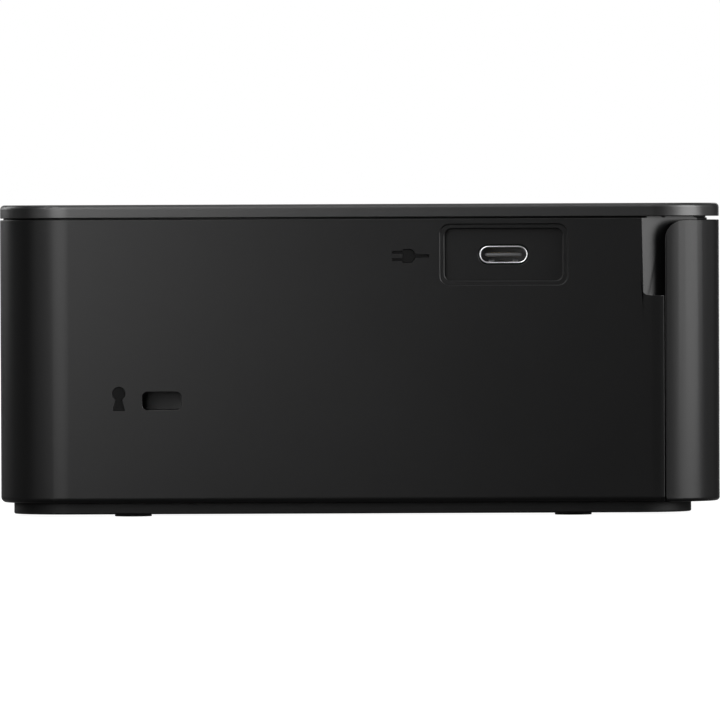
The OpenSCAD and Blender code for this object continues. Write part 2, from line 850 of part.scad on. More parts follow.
module base_plate() {
    base_hx = half_w - wall - slip;
    base_y0 = frame_inner + slip - half_d;
    base_y1 = half_d - wall - slip;
    base_r = corner_r - wall - slip;
    base_half_d = (base_y1 - base_y0) / 2;
    color(base_black) difference() {
        union() {
            translate([0, (base_y0 + base_y1) / 2, 0]) {
                around(base_hx, base_half_d, base_r)
                    wall_shape(base_r, 4, foot_show, floor_z, base_edge_r, 0);
                translate([0, 0, foot_show]) linear_extrude(base_t)
                    round_box(
                        [-base_hx + 2, -base_half_d + 2], [base_hx - 2, base_half_d - 2],
                        base_r - 2
                    );
            }
            translate([0, 0, foot_show + 1]) linear_extrude(rim_z1 - foot_show - 1) difference() {
                rim_outline(0);
                rim_outline(rim_t);
            }
            rail(mouth_x0 - 0.8 - rail_t);
            rail(mouth_x1 + 0.8);
            board_post(-38);
            board_post(12);
            for (x = power_board_x, y = power_board_y) rod_z(foot_show + 1, power_board_z, [x, y], 2);
        }
        for (boss = bosses) {
            rod_z(0, floor_z + 1, boss, screw_r + slip);
            rod_z(0, foot_show + screw_head_h + 0.1, boss, screw_head_r + slip);
        }
        for (at = feet) rod_z(0, foot_show + foot_sink, at, foot_r);
    }
}

feet = [for (s = [-1, 1]) each [
    [s * (half_w - foot_side), foot_front - half_d],
    [s * (half_w - foot_side), half_d - foot_rear]
]];

module rubber_feet() {
    color(rubber_black) for (at = feet) rod_z(0, foot_show + foot_sink, at, foot_r);
}

module case_screws() {
    color(steel) for (boss = bosses) difference() {
        union() {
            rod_z(foot_show + 0.1, foot_show + 0.1 + screw_head_h, boss, screw_head_r);
            rod_z(foot_show + 0.2, foot_show + screw_l, boss, screw_r);
        }
        translate([boss.x, boss.y, 0]) linear_extrude(foot_show + 0.6) {
            square([0.7, 3], center = true);
            square([3, 0.7], center = true);
        }
    }
}

// ---------- Top cover and keys ----------

// Ring under the cover that follows the casing's inside and steps round the port's pad
module cover_lips() {
    side = half_w - wall - slip;
    reach = recess_l / 2 + recess_wall + slip;
    pad_x = port_floor_x + recess_wall + slip;
    translate([0, 0, casing_z1 - lip_reach])
        linear_extrude(cover_z1 + 0.3 - casing_z1 + lip_reach) difference() {
            union() {
                difference() {
                    rim_outline(0);
                    rim_outline(lip_t);
                }
                translate([-side, port_y - reach - lip_t])
                    square([side + pad_x + lip_t, 2 * (reach + lip_t)]);
            }
            translate([-far, port_y - reach]) square([far + pad_x, 2 * reach]);
        }
}

module key_holes() {
    grow = swing;
    for (at = [power_at, home_at, edit_at, back_at, minus_at, plus_at])
        rod_z(cover_z0 - 1, far, at, key_r + grow);
    rod_z(cover_z0 - 1, far, ring_at, ring_r + grow);
}

module top_cover() {
    color(cover_black) difference() {
        union() {
            around(half_w, half_d, corner_r)
                wall_shape(corner_r, wall, cover_z0, body_h, small_edge_r, top_edge_r);
            translate([0, 0, cover_z1]) linear_extrude(top_t)
                round_box([1 - half_w, 1 - half_d], [half_w - 1, half_d - 1], corner_r - 1);
            cover_lips();
            for (x = key_pegs_x, y = key_pegs_y)
                rod_z(key_board_z1, cover_z1 + 0.3, [x, y], 2);
        }
        translate([0, 0, glass_z0]) linear_extrude(far)
            round_box(
                [glass_x - slip, glass_y - slip],
                [glass_x + glass_w + slip, glass_y + glass_d + slip], glass_r + slip
            );
        translate([0, 0, cover_z0]) linear_extrude(far)
            round_box(
                [glass_x + glass_shelf, glass_y + glass_shelf],
                [glass_x + glass_w - glass_shelf, glass_y + glass_d - glass_shelf], 1
            );
        key_holes();
    }
}

module display_glass() {
    color(glass_black) translate([glass_x, glass_y, glass_z0]) linear_extrude(glass_t)
        round_box([0, 0], [glass_w, glass_d], glass_r);
}

module display_module() {
    inset = glass_shelf - 2;
    color(part_grey) block(
        [glass_x + inset, glass_y + inset, cover_z1 - module_t],
        [glass_x + glass_w - inset, glass_y + glass_d - inset, cover_z1]
    );
}

key_board_margin = 9;
key_peg_in = 3;
key_board_x0 = ring_at.x - ring_r - key_board_margin;
key_board_x1 = power_at.x + key_board_margin + 1;
key_board_y0 = minus_at.y - key_board_margin;
key_board_y1 = power_at.y + key_board_margin;
key_pegs_x = [key_board_x0 + key_peg_in, key_board_x1 - key_peg_in];
key_pegs_y = [key_board_y0 + key_peg_in, key_board_y1 - key_peg_in];

module key_board() {
    color(board_green)
        block([key_board_x0, key_board_y0, key_board_z0], [key_board_x1, key_board_y1, key_board_z1]);
}

module key_switches() {
    color(part_grey) for (at = switch_spots) {
        block(
            [at.x - 2, at.y - 2, key_board_z1],
            [at.x + 2, at.y + 2, key_board_z1 + switch_h - 0.4]
        );
        rod_z(key_board_z1 + 1, switch_top, at, 0.9);
    }
}

// A round key: cap, flange under the cover and a plunger over its switch
module round_key(at, r) {
    color(key_grey) {
        rod_z(key_z0, key_z1, at, r);
        rod_z(key_z0, key_z0 + key_flange_t, at, r + key_flange);
        rod_z(switch_top + key_travel + 0.15, key_z0 + 0.1, at, 1.2);
    }
}

module power_key() { round_key(power_at, key_r); }
module home_key() { round_key(home_at, key_r); }
module edit_key() { round_key(edit_at, key_r); }
module back_key() { round_key(back_at, key_r); }
module minus_key() { round_key(minus_at, key_r); }
module plus_key() { round_key(plus_at, key_r); }

module ok_key() {
    color(key_grey) {
        rod_z(key_z0, key_z1, ring_at, ring_hole_r - ring_gap);
        rod_z(switch_top + key_travel + 0.15, key_z0 + 0.1, ring_at, 1.2);
    }
}

// One quarter of the ring, pointing along turn
module ring_quarter(inner, outer) {
    apex = ring_gap / sqrt(2);
    intersection() {
        difference() {
            circle(outer);
            circle(inner);
        }
        polygon([[apex, 0], [apex + 2 * outer, -2 * outer], [apex + 2 * outer, 2 * outer]]);
    }
}

module arrow_key(turn) {
    color(key_grey) translate(ring_at) rotate(turn) {
        translate([0, 0, key_z0]) linear_extrude(key_z1 - key_z0)
            ring_quarter(ring_hole_r, ring_r);
        translate([0, 0, key_z0]) linear_extrude(key_flange_t)
            ring_quarter(ring_hole_r, ring_r + key_flange);
        rod_z(
            switch_top + key_travel + 0.15, key_z0 + 0.1,
            [(ring_r + ring_hole_r) / 2, 0], 1.2
        );
    }
}

module right_key() { arrow_key(0); }
module up_key() { arrow_key(90); }
module left_key() { arrow_key(180); }
module down_key() { arrow_key(270); }

// ---------- Doors and eject lever ----------

module front_door() {
    knuckle_x = [-hinge_side, hinge_side];
    rib_back = frame_in - door_gap - half_d + door_rib_h;
    color(casing_black) difference() {
        union() {
            intersection() {
                around(half_w, half_d, corner_r)
                    wall_shape(corner_r, door_t, door_z0, door_z1, door_edge_r, small_edge_r);
                along_x(-far, far)
                    soft_box([-far, door_z0 - 1], [door_back, door_z1], [0, 0, door_top_r, 0]);
                along_x(-far, far)
                    soft_box([-far, door_z0], [door_back, far], [0, door_low_r, 0, 0]);
            }
            for (x = knuckle_x) {
                rod_x(x - knuckle_l / 2, x + knuckle_l / 2, hinge_at, knuckle_r);
                block(
                    [x - knuckle_l / 2, door_t / 2 - half_d, hinge_at.y],
                    [x + knuckle_l / 2, hinge_at.x, hinge_at.y + knuckle_r]
                );
            }
            along_y(door_t / 2 - half_d, rib_back) difference() {
                round_box([mouth_x0 + 4, mouth_z0 + 6], [mouth_x1 - 4, mouth_z1 - 4], 3);
                round_box(
                    [mouth_x0 + 4 + door_rib_t, mouth_z0 + 6 + door_rib_t],
                    [mouth_x1 - 4 - door_rib_t, mouth_z1 - 4 - door_rib_t], 3 - door_rib_t
                );
            }
        }
        for (x = knuckle_x)
            rod_x(x - knuckle_l, x + knuckle_l, hinge_at, door_pin_r + run_fit);
    }
}

module front_door_pins() {
    reach = knuckle_l / 2 + door_pin_grip;
    color(steel) for (s = [-1, 1])
        rod_x(s * hinge_side - reach, s * hinge_side + reach, hinge_at, door_pin_r);
}

module ribbon_door() {
    axis = [ribbon_axis_x, ribbon_axis_z];
    color(casing_black) difference() {
        union() {
            along_x(ribbon_axis_x, half_w)
                soft_box([ribbon_y0, ribbon_axis_z], [ribbon_y1, ribbon_z1], [0, 0, 1.2, 1.2]);
            rod_y(ribbon_y0, ribbon_y1, axis, ribbon_door_t);
        }
        rod_y(ribbon_y0 - 1, ribbon_y1 + 1, axis, ribbon_pin_r + run_fit);
    }
}

module ribbon_door_pin() {
    color(steel) rod_y(
        ribbon_y0 - ribbon_pin_grip, ribbon_y1 + ribbon_pin_grip,
        [ribbon_axis_x, ribbon_axis_z], ribbon_pin_r
    );
}

module eject_lever() {
    color(part_grey) {
        along_x(lever_x0, lever_x0 + lever_t) difference() {
            round_box([lever_y0, lever_z0], [lever_y1, lever_z1], 1);
            for (z = lever_studs) translate([lever_mid, z - lever_travel / 2]) rotate(90)
                slot_shape([0, 0], lever_travel + 2 * lever_slot_r, 2 * lever_slot_r);
        }
        block(
            [lever_x0 + lever_t / 2, lever_y1 - 1, lever_z0 + 9],
            [ribbon_frame_x - 0.6, lever_y1 + 1.8, lever_z0 + 11.5]
        );
    }
}

module eject_spring() {
    at = [lever_x0 + 1.3, lever_mid];
    z0 = spring_seat_z + lever_stud_r + 0.05;
    color(steel) difference() {
        rod_z(z0, lever_z0 - 0.1, at, 1);
        rod_z(z0 - 1, lever_z0 + 1, at, 0.6);
    }
}

// ---------- Electronics ----------

module main_board() {
    color(board_green) {
        block([board_x, -48, floor_z + 5.5], [board_x + board_t, 24, port_z + 3.3]);
        // Chips and a connector on the board's outer face
        block([board_x - 1.4, -8, 24], [board_x, 8, 40]);
        block([board_x - 1, -44, 18], [board_x, -34, 28]);
        block([board_x - 3, 12, 14], [board_x, 17, 34]);
    }
}

module usb_socket() {
    at = [port_y, port_z];
    mouth_x = port_floor_x + slip;
    tongue = [3.35, 0.35];
    color(steel) {
        difference() {
            along_x(mouth_x, board_x) slot_shape(at, shell_l, shell_h);
            along_x(mouth_x - 1, board_x - 1)
                slot_shape(at, shell_l - 2 * shell_t, shell_h - 2 * shell_t);
        }
        block(
            [mouth_x + 0.7, at.x - tongue.x, at.y - tongue.y],
            [board_x - 0.5, at.x + tongue.x, at.y + tongue.y]
        );
        // Spring tabs on the shell's lower side
        for (s = [-1, 1])
            block(
                [mouth_x + 0.3, at.x + s * 2.2 - 0.5, at.y - shell_h / 2 + shell_t / 2],
                [mouth_x + 3, at.x + s * 2.2 + 0.5, at.y - shell_h / 2 + shell_t + 0.25]
            );
    }
}

module card_socket() {
    mid = card_y0 + card_w / 2;
    color(steel) difference() {
        block([card_x0, card_y0, card_z0], [inner_x - 0.4, card_y0 + card_w, card_z0 + card_h]);
        block(
            [card_x0 + 3, mid - card_slot_w / 2, card_z0 + 0.8],
            [far, mid + card_slot_w / 2, card_z0 + 0.8 + card_slot_h]
        );
    }
}

power_board_x = [inlet_x - 6, inlet_x + 8];
power_board_y = [half_d - 25, half_d - 8];

module power_board() {
    color(board_green) {
        block(
            [inlet_x - 8, half_d - 28, power_board_z],
            [inlet_x + 10, half_d - wall - 2.2, power_board_z + board_t]
        );
        rod_z(power_board_z + 1, power_board_z + 9, [inlet_x + 5.5, half_d - 22], 3);
    }
}

module power_inlet() {
    mid = [inlet_x, inlet_z0 + inlet_h / 2];
    mouth = half_d - 0.8;
    color(rubber_black) difference() {
        block(
            [inlet_x - inlet_w / 2, half_d - 15, inlet_z0],
            [inlet_x + inlet_w / 2, mouth, inlet_z0 + inlet_h]
        );
        difference() {
            rod_y(mouth - 9, mouth + 1, mid, inlet_bore_r);
            rod_y(mouth - 9, mouth - 1, mid, 0.9);
        }
    }
}

module lock_plate() {
    at = [half_d - lock_rear, lock_z];
    color(steel) difference() {
        along_x(-inner_x, lock_plate_t - inner_x)
            round_box(at - lock_plate_half, at + lock_plate_half, 1);
        lock_hole(-far, 0, 0.1);
    }
}

// ---------- Chassis ----------

// Bush places as [axis, shaft radius]
bush_rows = [
    [capstan_at, capstan_shaft_r], [pinch_at, pinch_shaft_r],
    [pickup_at, pickup_shaft_r], [platen_at, platen_shaft_r]
];
bush_t = 1.2;
bush_flange = 0.8;

module bush_holes(x0) {
    for (row = bush_rows) rod_x(x0 - 1, x0 + plate_t + 1, row[0], row[1] + run_fit + bush_t + 0.02);
}

module shaft_bushes() {
    color(brass_yellow) for (side = [-1, 1], row = bush_rows) {
        plate = side < 0 ? left_plate_x : right_plate_x;
        face = side < 0 ? path_x0 : right_plate_x - 0.8;
        bore = row[1] + run_fit;
        difference() {
            union() {
                rod_x(plate, plate + plate_t, row[0], bore + bush_t);
                rod_x(face, face + 0.8, row[0], bore + bush_t + bush_flange);
            }
            rod_x(plate - 2, plate + plate_t + 2, row[0], bore);
        }
    }
}

plate_y0 = frame_inner - half_d + 2.9;
plate_y1 = half_d - 6.5;
plate_z1 = pivot_at.y + 4;

module left_side_plate() {
    color(steel) difference() {
        along_x(left_plate_x, path_x0)
            round_box([plate_y0, floor_z], [plate_y1, plate_z1], 1);
        bush_holes(left_plate_x);
        rod_x(left_plate_x - 1, path_x0 + 1, takeup_at, spindle_r + run_fit);
        rod_x(left_plate_x - 1, path_x0 + 1, supply_at, spindle_r + run_fit);
        rod_x(left_plate_x - 1, path_x0 + 1, pivot_at, sleeve_r + swing);
        // Lightening hole over the paper cassette
        along_x(left_plate_x - 1, path_x0 + 1)
            round_box([plate_y0 + 5, 36], [capstan_at.x - 9, plate_z1 - 5], 2);
    }
}

module right_side_plate() {
    front_top = card_shelf_z - 2;
    front_y = card_y0 + card_w + 1.8;
    color(steel) {
        difference() {
            along_x(right_plate_x, right_plate_x + plate_t) {
                soft_box([plate_y0, floor_z], [front_y, front_top], [1, 0, 0, 1]);
                soft_box([front_y - 1, floor_z], [plate_y1, plate_z1], [0, 1, 1, 1]);
            }
            bush_holes(right_plate_x);
            along_x(right_plate_x - 1, right_plate_x + plate_t + 1)
                round_box([window_y0, paper_z - 1], [ribbon_hole_y1, plate_z1 - 2], 1);
        }
        for (z = lever_studs) {
            rod_x(right_plate_x + plate_t / 2, lever_x0 + lever_t + 1.3, [lever_mid, z], lever_stud_r);
            rod_x(
                lever_x0 + lever_t + swing, lever_x0 + lever_t + 1.3, [lever_mid, z],
                lever_slot_r + 0.9
            );
        }
        rod_x(right_plate_x + plate_t / 2, lever_x0 + 2.7, [lever_mid, spring_seat_z], lever_stud_r);
    }
}

spindle_r = 2;
tie_r = 2;
low_ties = [[plate_y0 + 6.5, floor_z + tie_r + 0.4], [capstan_at.x + 22, 9], [plate_y1 - 3, 10]];
standoffs = [
    [plate_y0 + 3.5, 33], [capstan_at.x, capstan_at.y + 19.5],
    [platen_at.x + 2, platen_at.y - 5], [pivot_at.x + 1.5, head_pinion_at.y - 2.5]
];

module chassis_rods() {
    color(steel) {
        for (at = low_ties) rod_x(path_x0, path_x1, at, tie_r);
        for (at = standoffs) rod_x(bracket_x + plate_t, left_plate_x, at, tie_r);
        rod_x(bracket_x + plate_t, left_plate_x, reduction_at, stud_r);
        rod_x(bracket_x + plate_t, path_x1, pivot_at, stud_r);
    }
}

module motor_bracket() {
    split = takeup_at.x + 28;
    color(steel) difference() {
        along_x(bracket_x, bracket_x + plate_t) {
            soft_box([plate_y0, floor_z], [split, plate_z1 - 8], [1, 1, 0, 1]);
            soft_box([split - 1, head_pinion_at.y - 7.5], [plate_y1, plate_z1], [0, 1, 1, 1]);
        }
        for (at = [feed_pinion_at, ribbon_pinion_at, head_pinion_at])
            rod_x(bracket_x - 1, bracket_x + plate_t + 1, at, motor_shaft_r + 1);
        rod_x(bracket_x - 1, bracket_x + plate_t + 1, takeup_at, spindle_r + run_fit);
    }
}

// A motor with its face on the bracket and a bearing for its pinion's shaft
module motor(at, r) {
    color(part_grey) difference() {
        union() {
            rod_x(motor_x, bracket_x, at, r);
            block([motor_x + 1, at.x - 3, at.y + r - 1], [motor_x + 4, at.x + 3, at.y + r + 1.5]);
        }
        rod_x(bracket_x - 6, bracket_x + 1, at, motor_shaft_r + run_fit);
    }
}

module feed_motor() { motor(feed_pinion_at, feed_motor_r); }
module ribbon_motor() { motor(ribbon_pinion_at, ribbon_motor_r); }
module head_motor() { motor(head_pinion_at, head_motor_r); }

module ribbon_bay_tray() {
    z0 = paper_z + 1.6;
    color(casing_black) difference() {
        block([path_x0, ribbon_hole_y0 + 0.3, z0], [path_x1, ribbon_hole_y1 + 4, z0 + 1.2]);
        translate([0, 0, z0 - 1]) linear_extrude(4)
            round_box(
                [path_mid - arm_half - 3, platen_at.x - 12],
                [path_mid + arm_half + 3, platen_at.x + 13], 2
            );
    }
}

module lower_paper_guide() {
    z1 = paper_z - 1;
    color(casing_black) difference() {
        union() {
            block([path_x0, capstan_at.x + 6, z1 - 1.2], [path_x1, half_d - wall - 1.5, z1]);
            for (y = [capstan_at.x + 6, platen_at.x + 11.5])
                block([path_x0, y, z1 - 7], [path_x1, y + 1.2, z1 - 1]);
        }
        translate([0, 0, z1 - 3]) linear_extrude(5)
            round_box(
                [mouth_x0 - 1, platen_at.x - 8.5], [mouth_x1 + 1, platen_at.x + 8.5], 1
            );
    }
}

// ---------- Rollers, gears and spindles ----------

shaft_x0 = layer_a_x - 0.5;
shaft_x1 = right_plate_x + plate_t;
journal_x0 = left_plate_x - 0.8;
roller_margin = 7;

module capstan_roller() {
    color(steel) {
        rod_x(shaft_x0, shaft_x1, capstan_at, capstan_shaft_r);
        rod_x(path_x0 + roller_margin, path_x1 - roller_margin, capstan_at, capstan_r);
    }
}

module capstan_gear() {
    color(gear_white) difference() {
        gear(layer_a_x, capstan_at, capstan_n, 0);
        rod_x(layer_a_x - 1, layer_a_x + gear_w + 1, capstan_at, capstan_shaft_r + 0.02);
        for (turn = [0 : 60 : 300])
            rod_x(
                layer_a_x - 1, layer_a_x + gear_w + 1,
                capstan_at + polar(7, turn), 2
            );
    }
}

module pinch_roller() {
    n = 4;
    x0 = path_x0 + roller_margin;
    pitch = (path_x1 - roller_margin - x0) / n;
    color(rubber_black) {
        rod_x(journal_x0, shaft_x1, pinch_at, pinch_shaft_r);
        for (i = [0 : n - 1])
            rod_x(x0 + pitch * i + 2, x0 + pitch * (i + 1) - 2, pinch_at, pinch_r);
    }
}

// Places of the pick-up tyres along the shaft
tyre_w = 12;
tyre_x = [for (s = [-1, 1]) each [path_mid + s * 14 - tyre_w / 2, path_mid + s * 40 - tyre_w / 2]];
hub_r = tyre_r - 2.5;

module pickup_shaft() {
    color(part_grey) {
        rod_x(shaft_x0, shaft_x1, pickup_at, pickup_shaft_r);
        for (x = tyre_x) rod_x(x, x + tyre_w, pickup_at, hub_r);
    }
}

module pickup_tyres() {
    color(rubber_black) for (x = tyre_x) difference() {
        rod_x(x, x + tyre_w, pickup_at, tyre_r);
        rod_x(x - 1, x + tyre_w + 1, pickup_at, hub_r + 0.02);
    }
}

module pickup_gear() {
    color(gear_white) difference() {
        gear(layer_a_x, pickup_at, pickup_n, pickup_phase);
        rod_x(layer_a_x - 1, layer_a_x + gear_w + 1, pickup_at, pickup_shaft_r + 0.02);
    }
}

module reduction_gear() {
    color(gear_white) difference() {
        union() {
            gear(layer_b_x, reduction_at, reduction_big_n, 0);
            rod_x(layer_b_x, layer_a_x + gear_w, reduction_at, 3);
            gear(layer_a_x, reduction_at, reduction_small_n, reduction_phase);
        }
        rod_x(layer_b_x - 1, layer_a_x + gear_w + 1, reduction_at, stud_r + run_fit);
    }
}

// A pinion on the shaft of its motor
module motor_pinion(x0, at, turn) {
    color(brass_yellow) {
        gear(x0, at, pinion_n, turn);
        rod_x(bracket_x - 5.5, x0 + gear_w, at, motor_shaft_r);
    }
}

module feed_pinion() { motor_pinion(layer_b_x, feed_pinion_at, feed_pinion_phase); }
module ribbon_pinion() { motor_pinion(layer_b_x, ribbon_pinion_at, ribbon_pinion_phase); }
module head_pinion() { motor_pinion(layer_a_x, head_pinion_at, head_pinion_phase); }

module platen_roller() {
    color(rubber_black) {
        rod_x(journal_x0, shaft_x1, platen_at, platen_shaft_r);
        rod_x(mouth_x0, mouth_x1, platen_at, platen_r);
    }
}

// Drive end of a ribbon spindle, with three dogs for the ribbon's reel
module spindle_hub(at) {
    x0 = path_x0 + swing;
    x1 = path_mid - arm_half - 1.5;
    rod_x(x0, x1, at, 4);
    for (turn = [30 : 120 : 270]) translate([x0, at.x, at.y]) rotate([turn, 0, 0])
        block([0, -0.8, 0], [x1 - x0 - 1, 0.8, 5]);
}

module takeup_spindle() {
    color(gear_white) {
        gear(layer_b_x, takeup_at, takeup_n, 0);
        rod_x(bracket_x, path_x0 + 2, takeup_at, spindle_r);
        spindle_hub(takeup_at);
    }
}

module supply_spindle() {
    color(gear_white) {
        rod_x(left_plate_x - 1.6, left_plate_x - swing, supply_at, 3);
        rod_x(left_plate_x - 1, path_x0 + 2, supply_at, spindle_r);
        spindle_hub(supply_at);
    }
}

// ---------- Head ----------

arm_x0 = path_mid - arm_half;
arm_x1 = path_mid + arm_half;

module head_arm() {
    color(alloy) difference() {
        union() {
            block([arm_x0, arm_front, arm_z1 - arm_t], [arm_x1, pivot_at.x - 4, arm_z1]);
            for (x = [arm_x0, arm_x1 - arm_t]) {
                block([x, arm_front, arm_z1 - arm_side_h], [x + arm_t, pivot_at.x, arm_z1]);
                rod_x(x, x + arm_t, pivot_at, arm_ear_r);
            }
            rod_x(layer_a_x + gear_w, arm_x0 + 1, pivot_at, sleeve_r);
        }
        rod_x(layer_a_x, path_x1, pivot_at, stud_r + run_fit);
    }
}

module head_heat_sink() {
    fin_n = 5;
    fin_t = 1;
    x0 = arm_x0 + arm_t + 0.1;
    x1 = arm_x1 - arm_t - 0.1;
    fin_z1 = arm_z1 - arm_t - 1.5;
    pitch = (sink_y1 - sink_y0 - fin_t) / (fin_n - 1);
    color(alloy) {
        block([x0, sink_y0, sink_z0], [x1, sink_y1, sink_z0 + sink_base_t]);
        for (i = [0 : fin_n - 1]) {
            y = sink_y0 + i * pitch;
            block([x0, y, sink_z0 + 1], [x1, y + fin_t, fin_z1]);
        }
        for (x = [x0 + 2, (x0 + x1) / 2 - 4, x1 - 10])
            block([x, sink_y0 + 2, sink_z0 + 1], [x + 8, sink_y1 - 2, arm_z1 - arm_t]);
    }
}

module thermal_head() {
    x0 = arm_x0 + arm_t + 0.1;
    x1 = arm_x1 - arm_t - 0.1;
    color(brass_yellow) {
        block([x0, sink_y0, head_z0], [x1, sink_y1, sink_z0]);
        intersection() {
            rod_x(x0, x1, ridge_at + [0, ridge_r], ridge_r);
            block([x0, sink_y0, ridge_at.y], [x1, sink_y1, head_z0 + 1]);
        }
    }
}

module head_sector() {
    color(gear_white) difference() {
        union() {
            along_x(layer_a_x, layer_a_x + gear_w) translate(pivot_at) intersection() {
                teeth(sector_n, 0, 0, sector_n - 1);
                polygon([[0, 0], polar(30, 222), polar(30, 250), polar(30, 272)]);
            }
            rod_x(layer_a_x, layer_a_x + gear_w, pivot_at, 5);
        }
        rod_x(layer_a_x - 1, layer_a_x + gear_w + 1, pivot_at, stud_r + run_fit);
    }
}

// ---------- Nodes ----------

main_casing();
base_plate();
rubber_feet();
top_cover();
display_glass();
display_module();
key_board();
key_switches();
main_board();
usb_socket();
card_socket();
power_board();
power_inlet();
left_side_plate();
right_side_plate();
chassis_rods();
motor_bracket();
feed_motor();
ribbon_motor();
head_motor();
ribbon_bay_tray();
lower_paper_guide();
shaft_bushes();
lock_plate();
case_screws();
front_door_pins();
ribbon_door_pin();
eject_spring();
front_door();
ribbon_door();
eject_lever();
power_key();
home_key();
edit_key();
back_key();
up_key();
down_key();
left_key();
right_key();
ok_key();
minus_key();
plus_key();
capstan_roller();
capstan_gear();
pinch_roller();
pickup_shaft();
pickup_tyres();
pickup_gear();
reduction_gear();
feed_pinion();
platen_roller();
takeup_spindle();
ribbon_pinion();
supply_spindle();
head_arm();
head_heat_sink();
thermal_head();
head_sector();
head_pinion();
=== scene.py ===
# %% [markdown]
# # Compact photo printer
# A low black box with round upright corners. Its front door wraps round both front
# corners, and a separate cover closes it from above. The solids come packed from CAD, at
# their real size, so this lesson is about what CAD leaves out: the light that shapes a
# black object, the plastics, metals and rubbers, and the small trim.

# %% Load the frame
import json
import math

import bmesh
import bpy
from mathutils import Matrix, Vector
from mathutils.bvhtree import BVHTree


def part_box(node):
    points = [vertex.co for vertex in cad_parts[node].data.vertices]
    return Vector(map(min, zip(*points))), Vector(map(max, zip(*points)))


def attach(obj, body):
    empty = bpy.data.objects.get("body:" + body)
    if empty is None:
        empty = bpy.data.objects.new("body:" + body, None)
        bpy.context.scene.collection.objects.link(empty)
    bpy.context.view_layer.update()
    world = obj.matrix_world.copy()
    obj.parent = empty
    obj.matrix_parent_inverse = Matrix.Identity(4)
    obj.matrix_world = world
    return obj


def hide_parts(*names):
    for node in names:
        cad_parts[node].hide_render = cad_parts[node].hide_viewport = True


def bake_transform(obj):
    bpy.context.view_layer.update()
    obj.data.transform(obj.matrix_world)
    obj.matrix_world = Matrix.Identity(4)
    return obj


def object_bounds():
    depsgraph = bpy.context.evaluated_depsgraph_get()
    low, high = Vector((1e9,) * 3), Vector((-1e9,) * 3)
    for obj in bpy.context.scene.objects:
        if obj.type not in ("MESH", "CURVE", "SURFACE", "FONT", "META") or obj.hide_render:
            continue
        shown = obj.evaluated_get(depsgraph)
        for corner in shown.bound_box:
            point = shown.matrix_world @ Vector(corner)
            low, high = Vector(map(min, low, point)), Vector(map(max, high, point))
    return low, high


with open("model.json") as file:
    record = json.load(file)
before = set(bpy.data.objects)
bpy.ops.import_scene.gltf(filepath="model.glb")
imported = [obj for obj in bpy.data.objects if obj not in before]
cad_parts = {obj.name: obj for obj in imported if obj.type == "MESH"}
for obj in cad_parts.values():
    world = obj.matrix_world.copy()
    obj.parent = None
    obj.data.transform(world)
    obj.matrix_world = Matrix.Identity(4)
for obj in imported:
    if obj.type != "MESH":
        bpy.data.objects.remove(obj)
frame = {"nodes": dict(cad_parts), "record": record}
nodes = frame["nodes"]
cad_box = [list(corner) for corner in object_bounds()]
scene = bpy.context.scene
scene.view_settings.view_transform = "Standard"
MM = 0.001
print("nodes:", len(nodes), "box:", cad_box)

# %% [markdown]
# ## Camera
# The picture was taken from the left side with a long lens, so the sides hardly converge.
# A lens of 571 mm at 2.1 m gives that. It stands level with the seam under the cover and
# looks slightly down, and the picture leans by a quarter of a degree.

# %% Camera
CAMERA_DISTANCE = 2.1
SENSOR_MM, LENS_MM = 36, 570.9
EYE_HEIGHT, AIM_HEIGHT = 0.055, 0.0288
LEAN = math.radians(-0.235)
left_side = cad_box[0][0]
camera_data = bpy.data.cameras.new("camera")
camera_data.sensor_width = SENSOR_MM
camera_data.lens = LENS_MM
camera_data.clip_start = 0.05
camera_data.clip_end = 30
camera = bpy.data.objects.new("camera", camera_data)
scene.collection.objects.link(camera)
eye = Vector((left_side - CAMERA_DISTANCE, 0.0, EYE_HEIGHT))
aim = Vector((left_side, 0.0, AIM_HEIGHT))
camera.matrix_world = (
    Matrix.Translation(eye)
    @ (aim - eye).to_track_quat("-Z", "Y").to_matrix().to_4x4()
    @ Matrix.Rotation(LEAN, 4, "Z")
)
scene.camera = camera
print("camera at", [round(v, 3) for v in eye])

# %% [markdown]
# ## Formulas for shaders
# A finish is easier to read as a formula than as a web of nodes. `Sock` wraps one socket,
# and each sign used on it adds a Math node. `Finish` owns the material and makes every
# other node through one method.


# %% Sockets and finishes
class Sock:
    """A socket that can stand in a formula."""

    def __init__(self, finish, socket):
        self.finish, self.socket = finish, socket

    def maths(self, operation, *values):
        return self.finish.node("ShaderNodeMath", {"operation": operation}, values)

    def __add__(self, other):
        return self.maths("ADD", self, other)

    def __sub__(self, other):
        return self.maths("SUBTRACT", self, other)

    def __rsub__(self, other):
        return self.maths("SUBTRACT", other, self)

    def __mul__(self, other):
        return self.maths("MULTIPLY", self, other)

    def __abs__(self):
        return self.maths("ABSOLUTE", self)

    __radd__ = __add__
    __rmul__ = __mul__

    def at_least(self, other):
        return self.maths("MAXIMUM", self, other)

    def rise(self, low, high):
        """0 up to low, 1 from high, and smooth between."""
        settings = {"interpolation_type": "SMOOTHSTEP"}
        return self.finish.node("ShaderNodeMapRange", settings, [self, low, high, 0.0, 1.0])


class Tree:
    """A node tree whose nodes are all made by one method."""

    def __init__(self, tree):
        self.tree = tree

    def node(self, kind, settings=None, values=(), out=0):
        made = self.tree.nodes.new(kind)
        for name, value in (settings or {}).items():
            setattr(made, name, value)
        for key, value in values.items() if isinstance(values, dict) else enumerate(values):
            if isinstance(value, Sock):
                self.tree.links.new(value.socket, made.inputs[key])
            else:
                made.inputs[key].default_value = value
        return Sock(self, made.outputs[out])


